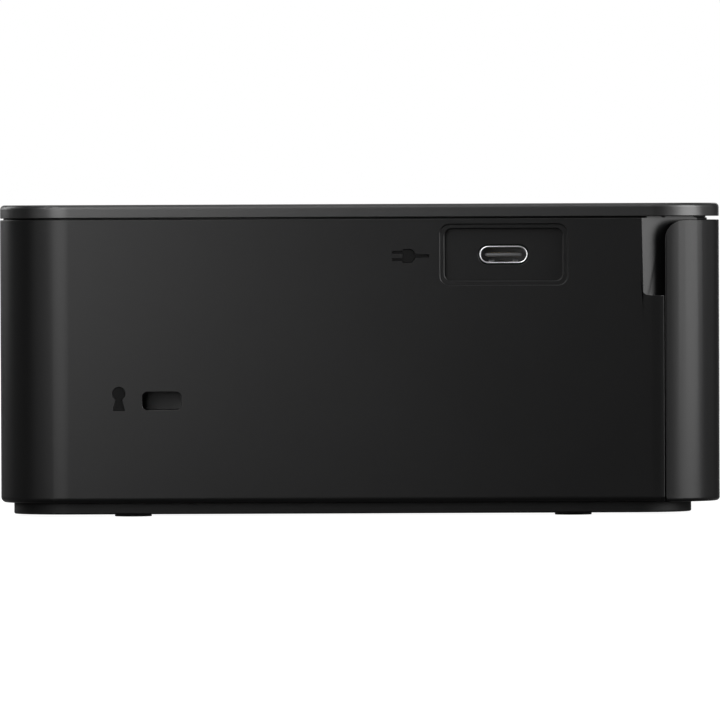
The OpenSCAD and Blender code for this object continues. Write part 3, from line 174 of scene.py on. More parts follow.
class Finish(Tree):
    """A material with one Principled shader, fed by formulas on object coordinates."""

    def __init__(self, name, colour, roughness, **constants):
        self.material = bpy.data.materials.new(name)
        self.material.use_nodes = True
        super().__init__(self.material.node_tree)
        self.shader = self.tree.nodes["Principled BSDF"]
        self.feed("Base Color", (*colour, 1.0))
        self.feed("Roughness", roughness)
        for key, value in constants.items():
            self.feed(key.replace("_", " ").title().replace("Ior", "IOR"), value)
        self.place = self.node("ShaderNodeTexCoord", out="Object")
        split = self.node("ShaderNodeSeparateXYZ", values=[self.place]).socket.node
        self.x, self.y, self.z = (Sock(self, split.outputs[i]) for i in range(3))

    def feed(self, key, value):
        if isinstance(value, Sock):
            self.tree.links.new(value.socket, self.shader.inputs[key])
        else:
            self.shader.inputs[key].default_value = value

    def noise(self, size, detail=2.0, stretch=(1.0, 1.0, 1.0)):
        """Noise from 0 to 1 with blotches of about size metres, drawn out by stretch."""
        scale = tuple(1.0 / (size * s) for s in stretch)
        where = self.node("ShaderNodeVectorMath", {"operation": "MULTIPLY"}, [self.place, scale])
        return self.node(
            "ShaderNodeTexNoise", values={"Vector": where, "Scale": 1.0, "Detail": detail}
        )

    def mix(self, factor, a, b):
        """Colour a where factor is 0 and colour b where it is 1."""
        pick = {0: factor, 6: a, 7: b}
        return self.node("ShaderNodeMix", {"data_type": "RGBA"}, pick, out=2)

    def relief(self, height, depth):
        """Feeds the normal from a height of 0 to 1 that stands for depth metres."""
        values = {"Strength": 1.0, "Distance": depth, "Height": height}
        self.feed("Normal", self.node("ShaderNodeBump", values=values))


# %% [markdown]
# ## Studio
# A black object shows hardly any colour of its own: what the eye reads as its form is the
# lamps in its satin skin. So each lamp is placed by the highlight that it makes. Seen from
# the camera, the rear corner is on the left and the front corner on the right. The tall box
# at the rear left lights the rear corner and fades along the side, and the one at the front
# left makes the bright streak on the front corner. Each has a dim wing that softens the end
# of its streak. The strip above lights the flat side, and the boxes and fills on the far
# side draw the rims. The background is white by the camera's rays alone, and the plastic
# sees a dim room.


# %% Lamps
def lamp(name, at, aim_at, width, height, radiance):
    """A rectangular soft box. Its power follows from its radiance and its size."""
    data = bpy.data.lights.new(name, "AREA")
    data.shape = "RECTANGLE"
    data.size, data.size_y = width, height
    data.energy = radiance * math.pi * width * height
    made = bpy.data.objects.new(name, data)
    scene.collection.objects.link(made)
    turn = (Vector(aim_at) - Vector(at)).to_track_quat("-Z", "Y")
    made.matrix_world = Matrix.Translation(at) @ turn.to_matrix().to_4x4()
    made.visible_camera = False
    return made


TALL = 0.60
REAR_CORNER, FRONT_CORNER = (-0.08, 0.06), (-0.08, -0.06)
lamp("rear_left_box", (-0.49, 0.173, 0.31), (left_side, 0.173, 0.31), 0.23, TALL, 4.5)
lamp("rear_left_wing", (-0.384, 0.392, 0.30), (*REAR_CORNER, 0.30), 0.22, TALL, 0.8)
lamp("front_left_box", (-0.339, -0.699, 0.30), (*FRONT_CORNER, 0.30), 0.49, TALL, 6.9)
lamp("front_left_wing", (-0.630, -0.490, 0.30), (*FRONT_CORNER, 0.30), 0.22, TALL, 1.2)
lamp("upper_left_strip", (-0.50, 0.0, 0.62), (left_side, 0.0, 0.05), 1.30, 0.10, 2.7)
lamp("overhead_box", (0.05, 0.05, 0.95), (0.0, 0.0, 0.0), 0.90, 0.90, 0.8)
lamp("rear_right_box", (0.63, 0.72, 0.38), (0.0, 0.0, 0.10), 0.55, TALL, 2.1)
lamp("rear_fill", (0.06, 0.85, 0.30), (*REAR_CORNER, 0.10), 0.56, TALL, 0.15)
lamp("front_fill", (0.30, -0.88, 0.30), (*FRONT_CORNER, 0.10), 0.50, TALL, 0.38)
lamp("right_box", (0.95, -0.14, 0.32), (0.0, 0.0, 0.10), 0.45, TALL, 1.1)

# %% Background
DIFFUSE_LEVEL = 0.20
WALL_LEVEL, CEILING_LEVEL, FAR_WALL_LEVEL, LOWER_LEVEL = 0.05, 0.12, 0.35, 0.12


def white_rays(tree):
    """The node that tells a ray's kind, and 1 for the rays that see plain white."""
    ray = tree.node("ShaderNodeLightPath").socket.node
    kinds = [Sock(tree, ray.outputs[f"Is {kind} Ray"]) for kind in ("Camera", "Transmission")]
    return ray, kinds[0] + kinds[1]


world = bpy.data.worlds.new("studio")
scene.world = world
world.use_nodes = True
world.cycles.sampling_method = "NONE"
sky = Tree(world.node_tree)
ray, seen = white_rays(sky)
mirrored = Sock(sky, ray.outputs["Is Glossy Ray"])
heading = sky.node("ShaderNodeTexCoord", out="Generated")
parts = sky.node("ShaderNodeSeparateXYZ", values=[heading]).socket.node
behind, up = Sock(sky, parts.outputs[0]), Sock(sky, parts.outputs[2])
down = 0 - up
lower_band = down.rise(0.12, 0.30) - down.rise(0.45, 0.60)
room = WALL_LEVEL + CEILING_LEVEL * up.rise(0.1, 0.8)
room = room + FAR_WALL_LEVEL * behind.rise(0.90, 1.0) + LOWER_LEVEL * lower_band
level = seen + (1 - seen) * (mirrored * room + (1 - mirrored) * DIFFUSE_LEVEL)
light = world.node_tree.nodes["Background"]
light.inputs["Color"].default_value = (1, 1, 1, 1)
world.node_tree.links.new(level.socket, light.inputs["Strength"])

# %% Floor
FLOOR_REACH, FLOOR_DROP = 2.5, 0.00002
FLOOR_GLOW, FLOOR_GREY = 0.96, 0.3
floor_mesh = bpy.data.meshes.new("floor")
floor_corners = [
    (x * FLOOR_REACH, y * FLOOR_REACH, -FLOOR_DROP)
    for x, y in ((-1, -1), (1, -1), (1, 1), (-1, 1))
]
floor_mesh.from_pydata(floor_corners, [], [(0, 1, 2, 3)])
floor = bpy.data.objects.new("floor", floor_mesh)
scene.collection.objects.link(floor)
paper = bpy.data.materials.new("white_floor")
paper.use_nodes = True
ground = Tree(paper.node_tree)
glow = FLOOR_GLOW * white_rays(ground)[1]
base = ground.node("ShaderNodeBsdfDiffuse", values={"Color": (FLOOR_GREY,) * 3 + (1,)})
shine = ground.node("ShaderNodeEmission", values={"Color": (1, 1, 1, 1), "Strength": glow})
both = ground.node("ShaderNodeAddShader", values=[base, shine])
paper.node_tree.links.new(both.socket, paper.node_tree.nodes["Material Output"].inputs["Surface"])
floor.data.materials.append(paper)
floor.visible_glossy = False

# %% [markdown]
# ## Plastics
# The casing and the door are one black moulded plastic with a fine spark-eroded grain,
# which widens the highlights. The cover is the same plastic from a smoother tool, so its
# highlights are narrower and brighter. The grain is a bump of a few thousandths of a
# millimetre, and slow noise in the roughness keeps large faces from looking machine-made.


# %% Moulded plastics
BLOTCH = 0.035
DARKER, PALER = 0.8, 1.25


def moulded(name, colour, roughness, grain, depth, **constants):
    """A moulded plastic: grain in metres gives the texture's size and depth its height."""
    finish = Finish(name, colour, roughness, **constants)
    broad = finish.noise(BLOTCH, 3.0)
    fine = finish.noise(grain)
    finish.feed("Roughness", roughness + 0.05 * (broad - 0.5) + 0.03 * (fine - 0.5))
    pale = tuple(min(1.0, c * PALER) for c in colour)
    dark = tuple(c * DARKER for c in colour)
    finish.feed("Base Color", finish.mix(broad, (*dark, 1.0), (*pale, 1.0)))
    finish.relief(fine, depth)
    return finish


casing_plastic = moulded(
    "casing_plastic", (0.0025, 0.0025, 0.0026), 0.34, 0.00030, 0.000004, specular_ior_level=0.33
)
cover_plastic = moulded(
    "cover_plastic", (0.0040, 0.0040, 0.0041), 0.34, 0.00025, 0.0000015, specular_ior_level=0.75
)
base_plastic = moulded(
    "base_plastic", (0.0030, 0.0030, 0.0031), 0.48, 0.00040, 0.000008, specular_ior_level=0.2
)
inner_plastic = moulded("inner_plastic", (0.020, 0.020, 0.021), 0.50, 0.00040, 0.000006)
key_plastic = moulded("key_plastic", (0.028, 0.028, 0.030), 0.34, 0.00022, 0.000003)
lever_plastic = moulded("lever_plastic", (0.15, 0.16, 0.17), 0.40, 0.00030, 0.000004)
switch_plastic = moulded("switch_plastic", (0.05, 0.05, 0.052), 0.45, 0.00025, 0.000004)
acetal = moulded("acetal", (0.74, 0.73, 0.69), 0.42, 0.00050, 0.000003)
print("plastics:", [m.name for m in bpy.data.materials if "plastic" in m.name])

# %% [markdown]
# ## Rubber, glass, metal and boards
# Ground rubber is dull with a faint lay from the wheel that cut it. Rolled and plated steel
# has fine lines along its length, so its noise is drawn out along one axis. The display is
# a glossy black window, and the panel that lies under it shows as a slightly paler field.


# %% Rubber
GRIND, GRIND_DEPTH = 0.00022, 0.00002


def rubber(name, colour, along):
    """Rubber with grinding lines; along draws the noise out."""
    finish = Finish(name, colour, 0.72, specular_ior_level=0.35)
    lines = finish.noise(GRIND, stretch=along)
    finish.feed("Roughness", 0.66 + 0.16 * lines)
    finish.relief(lines, GRIND_DEPTH)
    return finish


foot_rubber = rubber("foot_rubber", (0.016, 0.016, 0.016), (1, 1, 1))
roller_rubber = rubber("roller_rubber", (0.022, 0.022, 0.023), (1, 6, 6))


# %% Metals
LINE, CLOUD = 0.00012, 0.012


def drawn_metal(name, colour, roughness, along, depth=0.0000015):
    """A metal with the fine lines of rolling or turning; along draws them out."""
    finish = Finish(name, colour, roughness, metallic=1.0)
    lines = finish.noise(LINE, stretch=along)
    cloud = finish.noise(CLOUD, 3.0)
    finish.feed("Roughness", roughness + 0.14 * (lines - 0.5) + 0.10 * (cloud - 0.5))
    pale = tuple(min(1.0, c * 1.08) for c in colour)
    dark = tuple(c * 0.86 for c in colour)
    finish.feed("Base Color", finish.mix(cloud, (*dark, 1.0), (*pale, 1.0)))
    finish.relief(lines, depth)
    return finish


plated_steel = drawn_metal("plated_steel", (0.56, 0.57, 0.58), 0.34, (4, 40, 4))
socket_steel = drawn_metal("socket_steel", (0.70, 0.70, 0.71), 0.30, (20, 1, 1))
motor_steel = drawn_metal("motor_steel", (0.34, 0.35, 0.37), 0.38, (30, 2, 2))
capstan_steel = drawn_metal("capstan_steel", (0.50, 0.50, 0.51), 0.46, (1, 3, 3), depth=0.00001)
brass = drawn_metal("brass", (0.72, 0.50, 0.20), 0.28, (12, 1, 1))
head_alloy = drawn_metal("head_alloy", (0.62, 0.63, 0.65), 0.38, (50, 2, 2))
contact_gold = drawn_metal("contact_gold", (0.83, 0.60, 0.24), 0.20, (6, 1, 1))
print("metals:", [m.name for m in bpy.data.materials if "steel" in m.name])

# %% Glazed ceramic of the print head
HEATER_Y = 0.020
HEATER_DARK, CERAMIC_PALE = (0.05, 0.03, 0.02, 1), (0.50, 0.40, 0.24, 1)
head_ceramic = Finish("head_ceramic", (0.42, 0.30, 0.14), 0.18)
off_heater = abs(head_ceramic.y - HEATER_Y).rise(0.0004, 0.0012)
head_ceramic.feed("Base Color", head_ceramic.mix(off_heater, HEATER_DARK, CERAMIC_PALE))
head_ceramic.feed("Roughness", 0.12 + 0.10 * head_ceramic.noise(0.002))

# %% Display window
BORDER = 0.0085
BORDER_BLACK, PANEL_GREY = (0.003, 0.003, 0.0035, 1), (0.014, 0.016, 0.020, 1)
glass_low, glass_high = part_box("display_glass")
screen_glass = Finish("screen_glass", (0.004, 0.004, 0.005), 0.06)
glass_mid = (glass_low + glass_high) / 2
panel_half = (glass_high - glass_low) / 2 - Vector((BORDER, BORDER, 0))
across = abs(screen_glass.x - glass_mid.x) - panel_half.x
along = abs(screen_glass.y - glass_mid.y) - panel_half.y
margin = across.at_least(along)
panel = 1 - margin.rise(-0.0001, 0.0001)
smear = screen_glass.noise(0.018, 4.0)
screen_glass.feed("Base Color", screen_glass.mix(panel, BORDER_BLACK, PANEL_GREY))
screen_glass.feed("Roughness", 0.05 + 0.06 * smear)

# %% Circuit boards
BARE_GREEN, TRACK_GREEN = (0.008, 0.060, 0.026, 1), (0.022, 0.130, 0.052, 1)
board_laminate = Finish("board_laminate", (0.010, 0.085, 0.035), 0.32)
copper = board_laminate.noise(0.0022, 0.0, (1, 1, 6)).rise(0.52, 0.56)
weave = board_laminate.noise(0.0005, 1.0)
board_laminate.feed("Base Color", board_laminate.mix(copper, BARE_GREEN, TRACK_GREEN))
board_laminate.feed("Roughness", 0.28 + 0.10 * weave)
board_laminate.relief(copper, 0.00003)

# %% Dress the CAD solids
finish_of_slot = {
    "casing_plastic": casing_plastic, "cover_plastic": cover_plastic, "base_plastic": base_plastic,
    "inner_plastic": inner_plastic, "foot_rubber": foot_rubber, "roller_rubber": roller_rubber,
    "screen_glass": screen_glass, "key_plastic": key_plastic, "lever_plastic": lever_plastic,
    "board_laminate": board_laminate, "switch_plastic": switch_plastic,
    "plated_steel": plated_steel, "socket_steel": socket_steel, "motor_steel": motor_steel,
    "capstan_steel": capstan_steel, "gear_plastic": acetal, "brass": brass,
    "head_alloy": head_alloy, "head_ceramic": head_ceramic,
}
for part in frame["record"]["subparts"]:
    nodes[part["node"]].material_slots[0].material = finish_of_slot[part["material_slot"]].material

# %% [markdown]
# ## Skins with broken edges
# No moulded edge is sharp: it is broken by a tenth of a millimetre or two, and that is what
# catches the light as a fine bright line. The CAD solids have the radii that the eye sees
# from afar, so a copy gets the small ones: its loose triangles are joined, flat faces made
# whole, and each outer edge that is still sharp gets a narrow bevel. Where a bevel meets
# a facet that is too short for it, its points overshoot, so they go back to the surface.
# Weighted normals then keep the large faces flat. A crease, such as the scoop's edge, stays
# sharp to its very end, or the normals beside it would smear its light.


# %% Skin copies
BODY_CORNER = 13 * MM
SAME_POINT = 2e-6
FLAT, CREASE, SHARP = math.radians(0.5), math.radians(19), math.radians(50)
SHORTEST_EDGE, LONGEST_MOVE = 0.02, 0.6


def apply_modifiers(piece, modifiers):
    """Adds modifiers by kind and settings, and keeps their result as a plain mesh."""
    for kind, settings in modifiers:
        made = piece.modifiers.new(kind.lower(), kind)
        for name, value in settings.items():
            setattr(made, name, value)
    bpy.context.view_layer.update()
    plain = bpy.data.meshes.new_from_object(
        piece.evaluated_get(bpy.context.evaluated_depsgraph_get())
    )
    piece.modifiers.clear()
    piece.data = plain


def add_piece(name, mesh, body, slot, finish=None):
    """Puts a finished mesh in the scene, riding on a body. Its finish is the slot's own,
    unless another is given."""
    piece = bpy.data.objects.new(name, mesh)
    scene.collection.objects.link(piece)
    piece.data.materials.clear()
    piece.data.materials.append((finish or finish_of_slot[slot]).material)
    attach(piece, body)
    return piece


def inside(point, box, margin=1e-5):
    """True for a point in the box, or nearly so."""
    return all(box[0][i] - margin < point[i] < box[1][i] + margin for i in range(3))


def depth_below_surface(point):
    """How far a point lies inside the body's outline, a box with round upright corners."""
    over_x = abs(point.x) - cad_box[1][0] + BODY_CORNER
    over_y = abs(point.y) - cad_box[1][1] + BODY_CORNER
    both = over_x > 0 and over_y > 0
    side = BODY_CORNER - (math.hypot(over_x, over_y) if both else max(over_x, over_y))
    return min(side, cad_box[1][2] - point.z, point.z - cad_box[0][2])


def cut_skin(node, name, deep, cutters):
    """A copy of a CAD solid, merged, made flat down to deep metres, and cut."""
    work = bmesh.new()
    work.from_mesh(nodes[node].data)
    bmesh.ops.remove_doubles(work, verts=work.verts, dist=SAME_POINT)
    shallow = {v for v in work.verts if depth_below_surface(v.co) < deep}
    bmesh.ops.dissolve_limit(
        work, angle_limit=FLAT, verts=[v for v in work.verts if v in shallow],
        edges=[e for e in work.edges if shallow.issuperset(e.verts)],
    )
    piece = bpy.data.objects.new(name, bpy.data.meshes.new(name))
    work.to_mesh(piece.data)
    work.free()
    scene.collection.objects.link(piece)
    if cutters:
        apply_modifiers(piece, [
            ("BOOLEAN", {"operation": "DIFFERENCE", "solver": "EXACT", "object": cutter})
            for cutter in cutters
        ])
    return piece


def break_edges(work, edge, deep, cut_boxes):
    """Breaks the sharp edges down to deep metres by edge metres, and returns their count."""
    broken = {
        e for e in work.edges
        if len(e.link_faces) == 2 and e.calc_face_angle(0) > SHARP
        and e.calc_length() > SHORTEST_EDGE * edge
        and all(depth_below_surface(v.co) < deep for v in e.verts)
        and not any(inside(v.co, box) for box in cut_boxes for v in e.verts)
    }
    for e in work.edges:
        e.smooth = e in broken or e.calc_face_angle(0) < CREASE
    surface = BVHTree.FromBMesh(work)
    bevel = bmesh.ops.bevel(
        work, geom=[e for e in work.edges if e in broken], offset=edge, offset_type="OFFSET",
        segments=2, profile=0.5, affect="EDGES", clamp_overlap=False,
    )
    for v in work.verts:
        spot, _, _, away = surface.find_nearest(v.co)
        if away > LONGEST_MOVE * edge:
            v.co = spot
    crease_ends = {v for e in work.edges if not e.smooth for v in e.verts}
    for e in bevel["edges"]:
        e.smooth = crease_ends.isdisjoint(e.verts)
    return len(broken)


def skin(node, name, body, slot, edge, deep, cutters=()):
    """The piece that stands in for a CAD solid: cutters taken out, and the sharp edges that
    lie less than deep metres below the body's surface broken by edge metres."""
    piece = cut_skin(node, name, deep, cutters)
    cut_boxes = [[Vector(cutter.bound_box[i]) for i in (0, 6)] for cutter in cutters]
    work = bmesh.new()
    work.from_mesh(piece.data)
    count = break_edges(work, edge, deep, cut_boxes)
    work.to_mesh(piece.data)
    work.free()
    piece.data.polygons.foreach_set("use_smooth", [True] * len(piece.data.polygons))
    apply_modifiers(piece, [("WEIGHTED_NORMAL", {"keep_sharp": True, "weight": 100})])
    mesh = piece.data
    bpy.data.objects.remove(piece)
    made = add_piece(name, mesh, body, slot)
    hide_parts(node)
    print(name, "faces:", len(mesh.polygons), "edges broken:", count)


# %% [markdown]
# ## Signs in the side
# The port and the lock slot each have a small sign sunk into the plastic. Both are generic
# here: a plug for the port and a keyhole for the slot. Each is one outline, run 0.25 mm into
# the wall with walls that slope, and cut out of the casing's copy. A dull floor inside makes
# the sign read dark, and the sloping lower walls catch the light.


# %% Prisms from outlines
def bar(a, b, width):
    """A straight bar from a to b."""
    way = Vector((b[0] - a[0], b[1] - a[1])).normalized() * width / 2
    side = Vector((-way.y, way.x))
    return [tuple(Vector(p) + s * side) for p, s in ((a, -1), (b, -1), (b, 1), (a, 1))]


def inset(outline, d):
    """The outline, given against the clock, moved inwards by d."""
    moved = []
    for i, p in enumerate(outline):
        a, b = Vector(outline[i - 1]), Vector(outline[(i + 1) % len(outline)])
        before, after = (Vector(p) - a).normalized(), (b - Vector(p)).normalized()
        left = Vector((-before.y - after.y, before.x + after.x)).normalized()
        lean = max(0.3, left.dot(Vector((-before.y, before.x))))
        moved.append(tuple(Vector(p) + left * d / lean))
    return moved


def prisms(name, outlines, to_point, levels, slope=0.0):
    """One mesh of prisms through rising levels; slope insets the outline at the lowest one."""
    work = bmesh.new()
    for outline in outlines:
        rings = []
        for i, level in enumerate(levels):
            ring = inset(outline, slope) if slope and i == 0 else outline
            rings.append([work.verts.new(to_point(u, v, level)) for u, v in ring])
        work.faces.new(rings[0])
        work.faces.new(rings[-1])
        for lower, upper in zip(rings, rings[1:]):
            for i in range(len(lower)):
                j = (i + 1) % len(lower)
                work.faces.new([lower[i], lower[j], upper[j], upper[i]])
    bmesh.ops.recalc_face_normals(work, faces=work.faces[:])
    mesh = bpy.data.meshes.new(name)
    work.to_mesh(mesh)
    work.free()
    return mesh


# %% Plug and keyhole signs
SIGN_DEPTH, SIGN_SLOPE = 0.25, 0.13
SIGN_FLOOR, CUT_PAST = 0.02, 1.0
KEYHOLE_R, KEYHOLE_TOP = 1.25, 1.0
half_w = cad_box[1][0] / MM


def on_side(u, v, level):
    """u runs towards the rear, v up, and level out of the left side."""
    return Vector((-half_w - level, u, v)) * MM


half_plug = [
    (-3.6, 0.3), (-1.0, 0.3), (-1.0, 0.6), (-0.4, 1.3), (1.3, 1.3), (1.3, 0.95), (3.2, 0.95),
    (3.2, 0.4), (1.3, 0.4),
]
plug = [(u, -v) for u, v in half_plug] + half_plug[::-1]
turns = [math.radians(-60 + 300 * i / 24) for i in range(25)]
keyhole = [(KEYHOLE_R * math.cos(a), KEYHOLE_TOP + KEYHOLE_R * math.sin(a)) for a in turns]
keyhole += [(-1.15, -2.2), (1.15, -2.2)]
signs = {"plug_sign": (plug, (-9.2, 47.9)), "keyhole_sign": (keyhole, (44.4, 21.8))}
sign_outlines = {
    name: [(u + at[0], v + at[1]) for u, v in outline] for name, (outline, at) in signs.items()
}
sign_cutters = []
for name, outline in sign_outlines.items():
    mesh = prisms(name, [outline], on_side, (-SIGN_DEPTH, 0.0, CUT_PAST), SIGN_SLOPE)
    cutter = bpy.data.objects.new(name, mesh)
    scene.collection.objects.link(cutter)
    sign_cutters.append(cutter)
print("sign cutters:", len(sign_cutters))

# %% Casing, cover, doors and base
EDGE, RIBBON_DOOR_EDGE = 0.12 * MM, 0.15 * MM
WALL_DEEP, PLATE_DEEP = 2.1 * MM, 1.5 * MM
skin("main_casing", "casing_skin", "housing", "casing_plastic", EDGE, WALL_DEEP, sign_cutters)
for cutter in sign_cutters:
    bpy.data.objects.remove(cutter)
sign_paint = Finish("sign_paint", (0.003, 0.003, 0.003), 0.8, specular_ior_level=0.15)
sign_paint.feed("Roughness", 0.75 + 0.1 * sign_paint.noise(0.0003))
for name, outline in sign_outlines.items():
    floor_outline = inset(outline, SIGN_SLOPE * 1.15)
    levels = (-SIGN_DEPTH - SIGN_FLOOR, SIGN_FLOOR - SIGN_DEPTH)
    mesh = prisms(f"{name}_floor", [floor_outline], on_side, levels)
    add_piece(name, mesh, "housing", "casing_plastic", sign_paint)
for node, name, body, slot, edge, deep in (
    ("top_cover", "cover_skin", "housing", "cover_plastic", EDGE, PLATE_DEEP),
    ("front_door", "door_skin", "front_door_body", "casing_plastic", EDGE, WALL_DEEP),
    ("ribbon_door", "ribbon_door_skin", "ribbon_door_body", "casing_plastic", RIBBON_DOOR_EDGE,
     WALL_DEEP),
    ("base_plate", "base_skin", "housing", "base_plastic", EDGE, PLATE_DEEP),
):
    skin(node, name, body, slot, edge, deep)

# %% [markdown]
# ## USB-C socket
# The socket is a drawn steel shell with a rounded lip and a closed back, a dark tongue with
# two rows of gold contacts, and two spring tabs at the lower edge. Its outlines are slots
# with half-round ends, so the shell, the tongue and the back are lofted from one function.
# The contacts repeat at half a millimetre, which is work for Geometry Nodes.


# %% Lofts between slot outlines
def slot_ring(x, length, height, at, steps=10):
    """Points round a slot outline at depth x, in millimetres."""
    r = height / 2
    points = []
    for side in (1, -1):
        for i in range(steps + 1):
            a = math.pi * (i / steps - 0.5)
            y = side * (length / 2 - r + r * math.cos(a))
            points.append((x, at[0] + y, at[1] + side * r * math.sin(a)))
    return points


def loft(name, rings, closed=False):
    """Joins rings of equal count; closed joins the last to the first, else both are capped."""
    work = bmesh.new()
    loops = [[work.verts.new(Vector(p) * MM) for p in ring] for ring in rings]
    pairs = list(zip(loops, loops[1:])) + ([(loops[-1], loops[0])] if closed else [])
    for a, b in pairs:
        for i in range(len(a)):
            j = (i + 1) % len(a)
            work.faces.new([a[i], a[j], b[j], b[i]])
    if not closed:
        work.faces.new(loops[0])
        work.faces.new(loops[-1])
    bmesh.ops.recalc_face_normals(work, faces=work.faces[:])
    mesh = bpy.data.meshes.new(name)
    work.to_mesh(mesh)
    work.free()
    mesh.polygons.foreach_set("use_smooth", [True] * len(mesh.polygons))
    mesh.set_sharp_from_angle(angle=math.radians(40))
    return mesh


# %% Shell, tongue, back and tabs
SHELL_T = 0.3
TONGUE_L, TONGUE_H, TONGUE_BACK = 6.69, 0.70, 0.75
TAB_BACK, TAB_HALF_W, TAB_SUNK = 0.25, 0.5, 0.03
usb_low, usb_high = (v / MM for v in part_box("usb_socket"))
usb_at = ((usb_low.y + usb_high.y) / 2, (usb_low.z + usb_high.z) / 2)
shell_l, shell_h = usb_high.y - usb_low.y, usb_high.z - usb_low.z
mouth_x, back_x = usb_low.x, usb_high.x
lip = [(back_x, 0), (mouth_x + 0.15, 0), (mouth_x + 0.04, 0.05), (mouth_x, 0.15),
       (mouth_x + 0.04, 0.25), (mouth_x + 0.15, SHELL_T), (back_x, SHELL_T)]
shell_mesh = loft(
    "usb_shell",
    [slot_ring(x, shell_l - 2 * d, shell_h - 2 * d, usb_at) for x, d in lip], closed=True,
)
usb_shell = add_piece("usb_shell", shell_mesh, "housing", "socket_steel")
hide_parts("usb_socket")
tongue_x = mouth_x + TONGUE_BACK
tip = [(back_x - 0.2, 0), (tongue_x + 0.25, 0), (tongue_x + 0.07, 0.08), (tongue_x, 0.22)]
tongue_mesh = loft(
    "usb_tongue", [slot_ring(x, TONGUE_L - 2 * d, TONGUE_H - 2 * d, usb_at) for x, d in tip]
)
add_piece("usb_tongue", tongue_mesh, "housing", "switch_plastic")
back_mesh = loft("usb_floor", [
    slot_ring(x, shell_l - SHELL_T, shell_h - SHELL_T, usb_at)
    for x in (back_x - 1.2, back_x - 0.3)
])
add_piece("usb_floor", back_mesh, "housing", "switch_plastic")
tab_outline = [(0.0, 0.0), (3.0, 0.0), (3.0, 0.10), (0.9, 0.42), (0.55, 0.40), (0.0, 0.08)]
tab_x, tab_z = mouth_x + TAB_BACK, usb_at[1] - shell_h / 2 + SHELL_T - TAB_SUNK
for i, side in enumerate((-2.2, 2.2)):
    mesh = prisms(
        f"usb_tab_{i}", [tab_outline],
        lambda u, v, level: Vector((tab_x + u, usb_at[0] + side + level, tab_z + v)) * MM,
        (-TAB_HALF_W, TAB_HALF_W),
    )
    add_piece(f"usb_tab_{i}", mesh, "housing", "socket_steel")


# %% Contacts on the tongue
def node_group(name, inputs):
    """An empty Geometry Nodes tree with named number inputs and one geometry output."""
    group = bpy.data.node_groups.new(name, "GeometryNodeTree")
    for title, kind in inputs:
        group.interface.new_socket(title, in_out="INPUT", socket_type=kind)
    group.interface.new_socket("Geometry", in_out="OUTPUT", socket_type="NodeSocketGeometry")
    return group


class Maker(Tree):
    """A Geometry Nodes tree that ends in real faces with one material."""

    def __init__(self, name, inputs):
        super().__init__(node_group(name, inputs))
        self.source = self.tree.nodes.new("NodeGroupInput")

    def given(self, title):
        return Sock(self, self.source.outputs[title])

    def finish(self, geometry, material):
        real = self.node("GeometryNodeRealizeInstances", values=[geometry])
        painted = self.node("GeometryNodeSetMaterial", values=[real, 0])
        painted.socket.node.inputs["Material"].default_value = material
        end = self.tree.nodes.new("NodeGroupOutput")
        self.tree.links.new(painted.socket, end.inputs[0])


def grown(name, maker, values):
    """Runs a tree on an empty mesh and returns what it made as a plain mesh."""
    host = bpy.data.objects.new(name, bpy.data.meshes.new(name))
    scene.collection.objects.link(host)
    modifier = host.modifiers.new("grow", "NODES")
    modifier.node_group = maker.tree
    for item in maker.tree.interface.items_tree:
        if item.in_out == "INPUT":
            modifier[item.identifier] = values[item.name]
    bpy.context.view_layer.update()
    mesh = bpy.data.meshes.new_from_object(
        host.evaluated_get(bpy.context.evaluated_depsgraph_get())
    )
    bpy.data.objects.remove(host)
    print(name, "grown faces:", len(mesh.polygons))
    return mesh


rows = Maker("contact_rows", [
    ("Count", "NodeSocketInt"), ("Pitch", "NodeSocketFloat"), ("Length", "NodeSocketFloat"),
    ("Width", "NodeSocketFloat"), ("Thickness", "NodeSocketFloat"), ("Spread", "NodeSocketFloat"),
])
step = rows.node("ShaderNodeCombineXYZ", values=[0.0, rows.given("Pitch"), 0.0])
first = rows.node("ShaderNodeCombineXYZ", values=[
    0.0, rows.given("Pitch") * (1 - rows.given("Count")) * 0.5, rows.given("Spread") * 0.5
])
spots = rows.node(
    "GeometryNodeMeshLine", {"mode": "OFFSET"},
    {"Count": rows.given("Count"), "Start Location": first, "Offset": step},
)
blade_size = rows.node("ShaderNodeCombineXYZ", values=[
    rows.given("Length"), rows.given("Width"), rows.given("Thickness")
])
blade = rows.node("GeometryNodeMeshCube", values={"Size": blade_size})
upper = rows.node("GeometryNodeInstanceOnPoints", values={"Points": spots, "Instance": blade})
down = rows.node("ShaderNodeCombineXYZ", values=[0.0, 0.0, rows.given("Spread") * -1])
lower = rows.node("GeometryNodeTransform", values={"Geometry": upper, "Translation": down})
joined = rows.node("GeometryNodeJoinGeometry")
for sheet in (upper, lower):
    rows.tree.links.new(sheet.socket, joined.socket.node.inputs[0])
rows.finish(joined, contact_gold.material)
CONTACTS_BACK = 2.3
contacts_mesh = grown("contact_rows", rows, {
    "Count": 12, "Pitch": 0.5 * MM, "Length": 3.2 * MM, "Width": 0.26 * MM,
    "Thickness": 0.04 * MM, "Spread": 0.72 * MM,
})
contacts_mesh.transform(Matrix.Translation(Vector((tongue_x + CONTACTS_BACK, *usb_at)) * MM))
add_piece("usb_contacts", contacts_mesh, "housing", "brass", contact_gold)
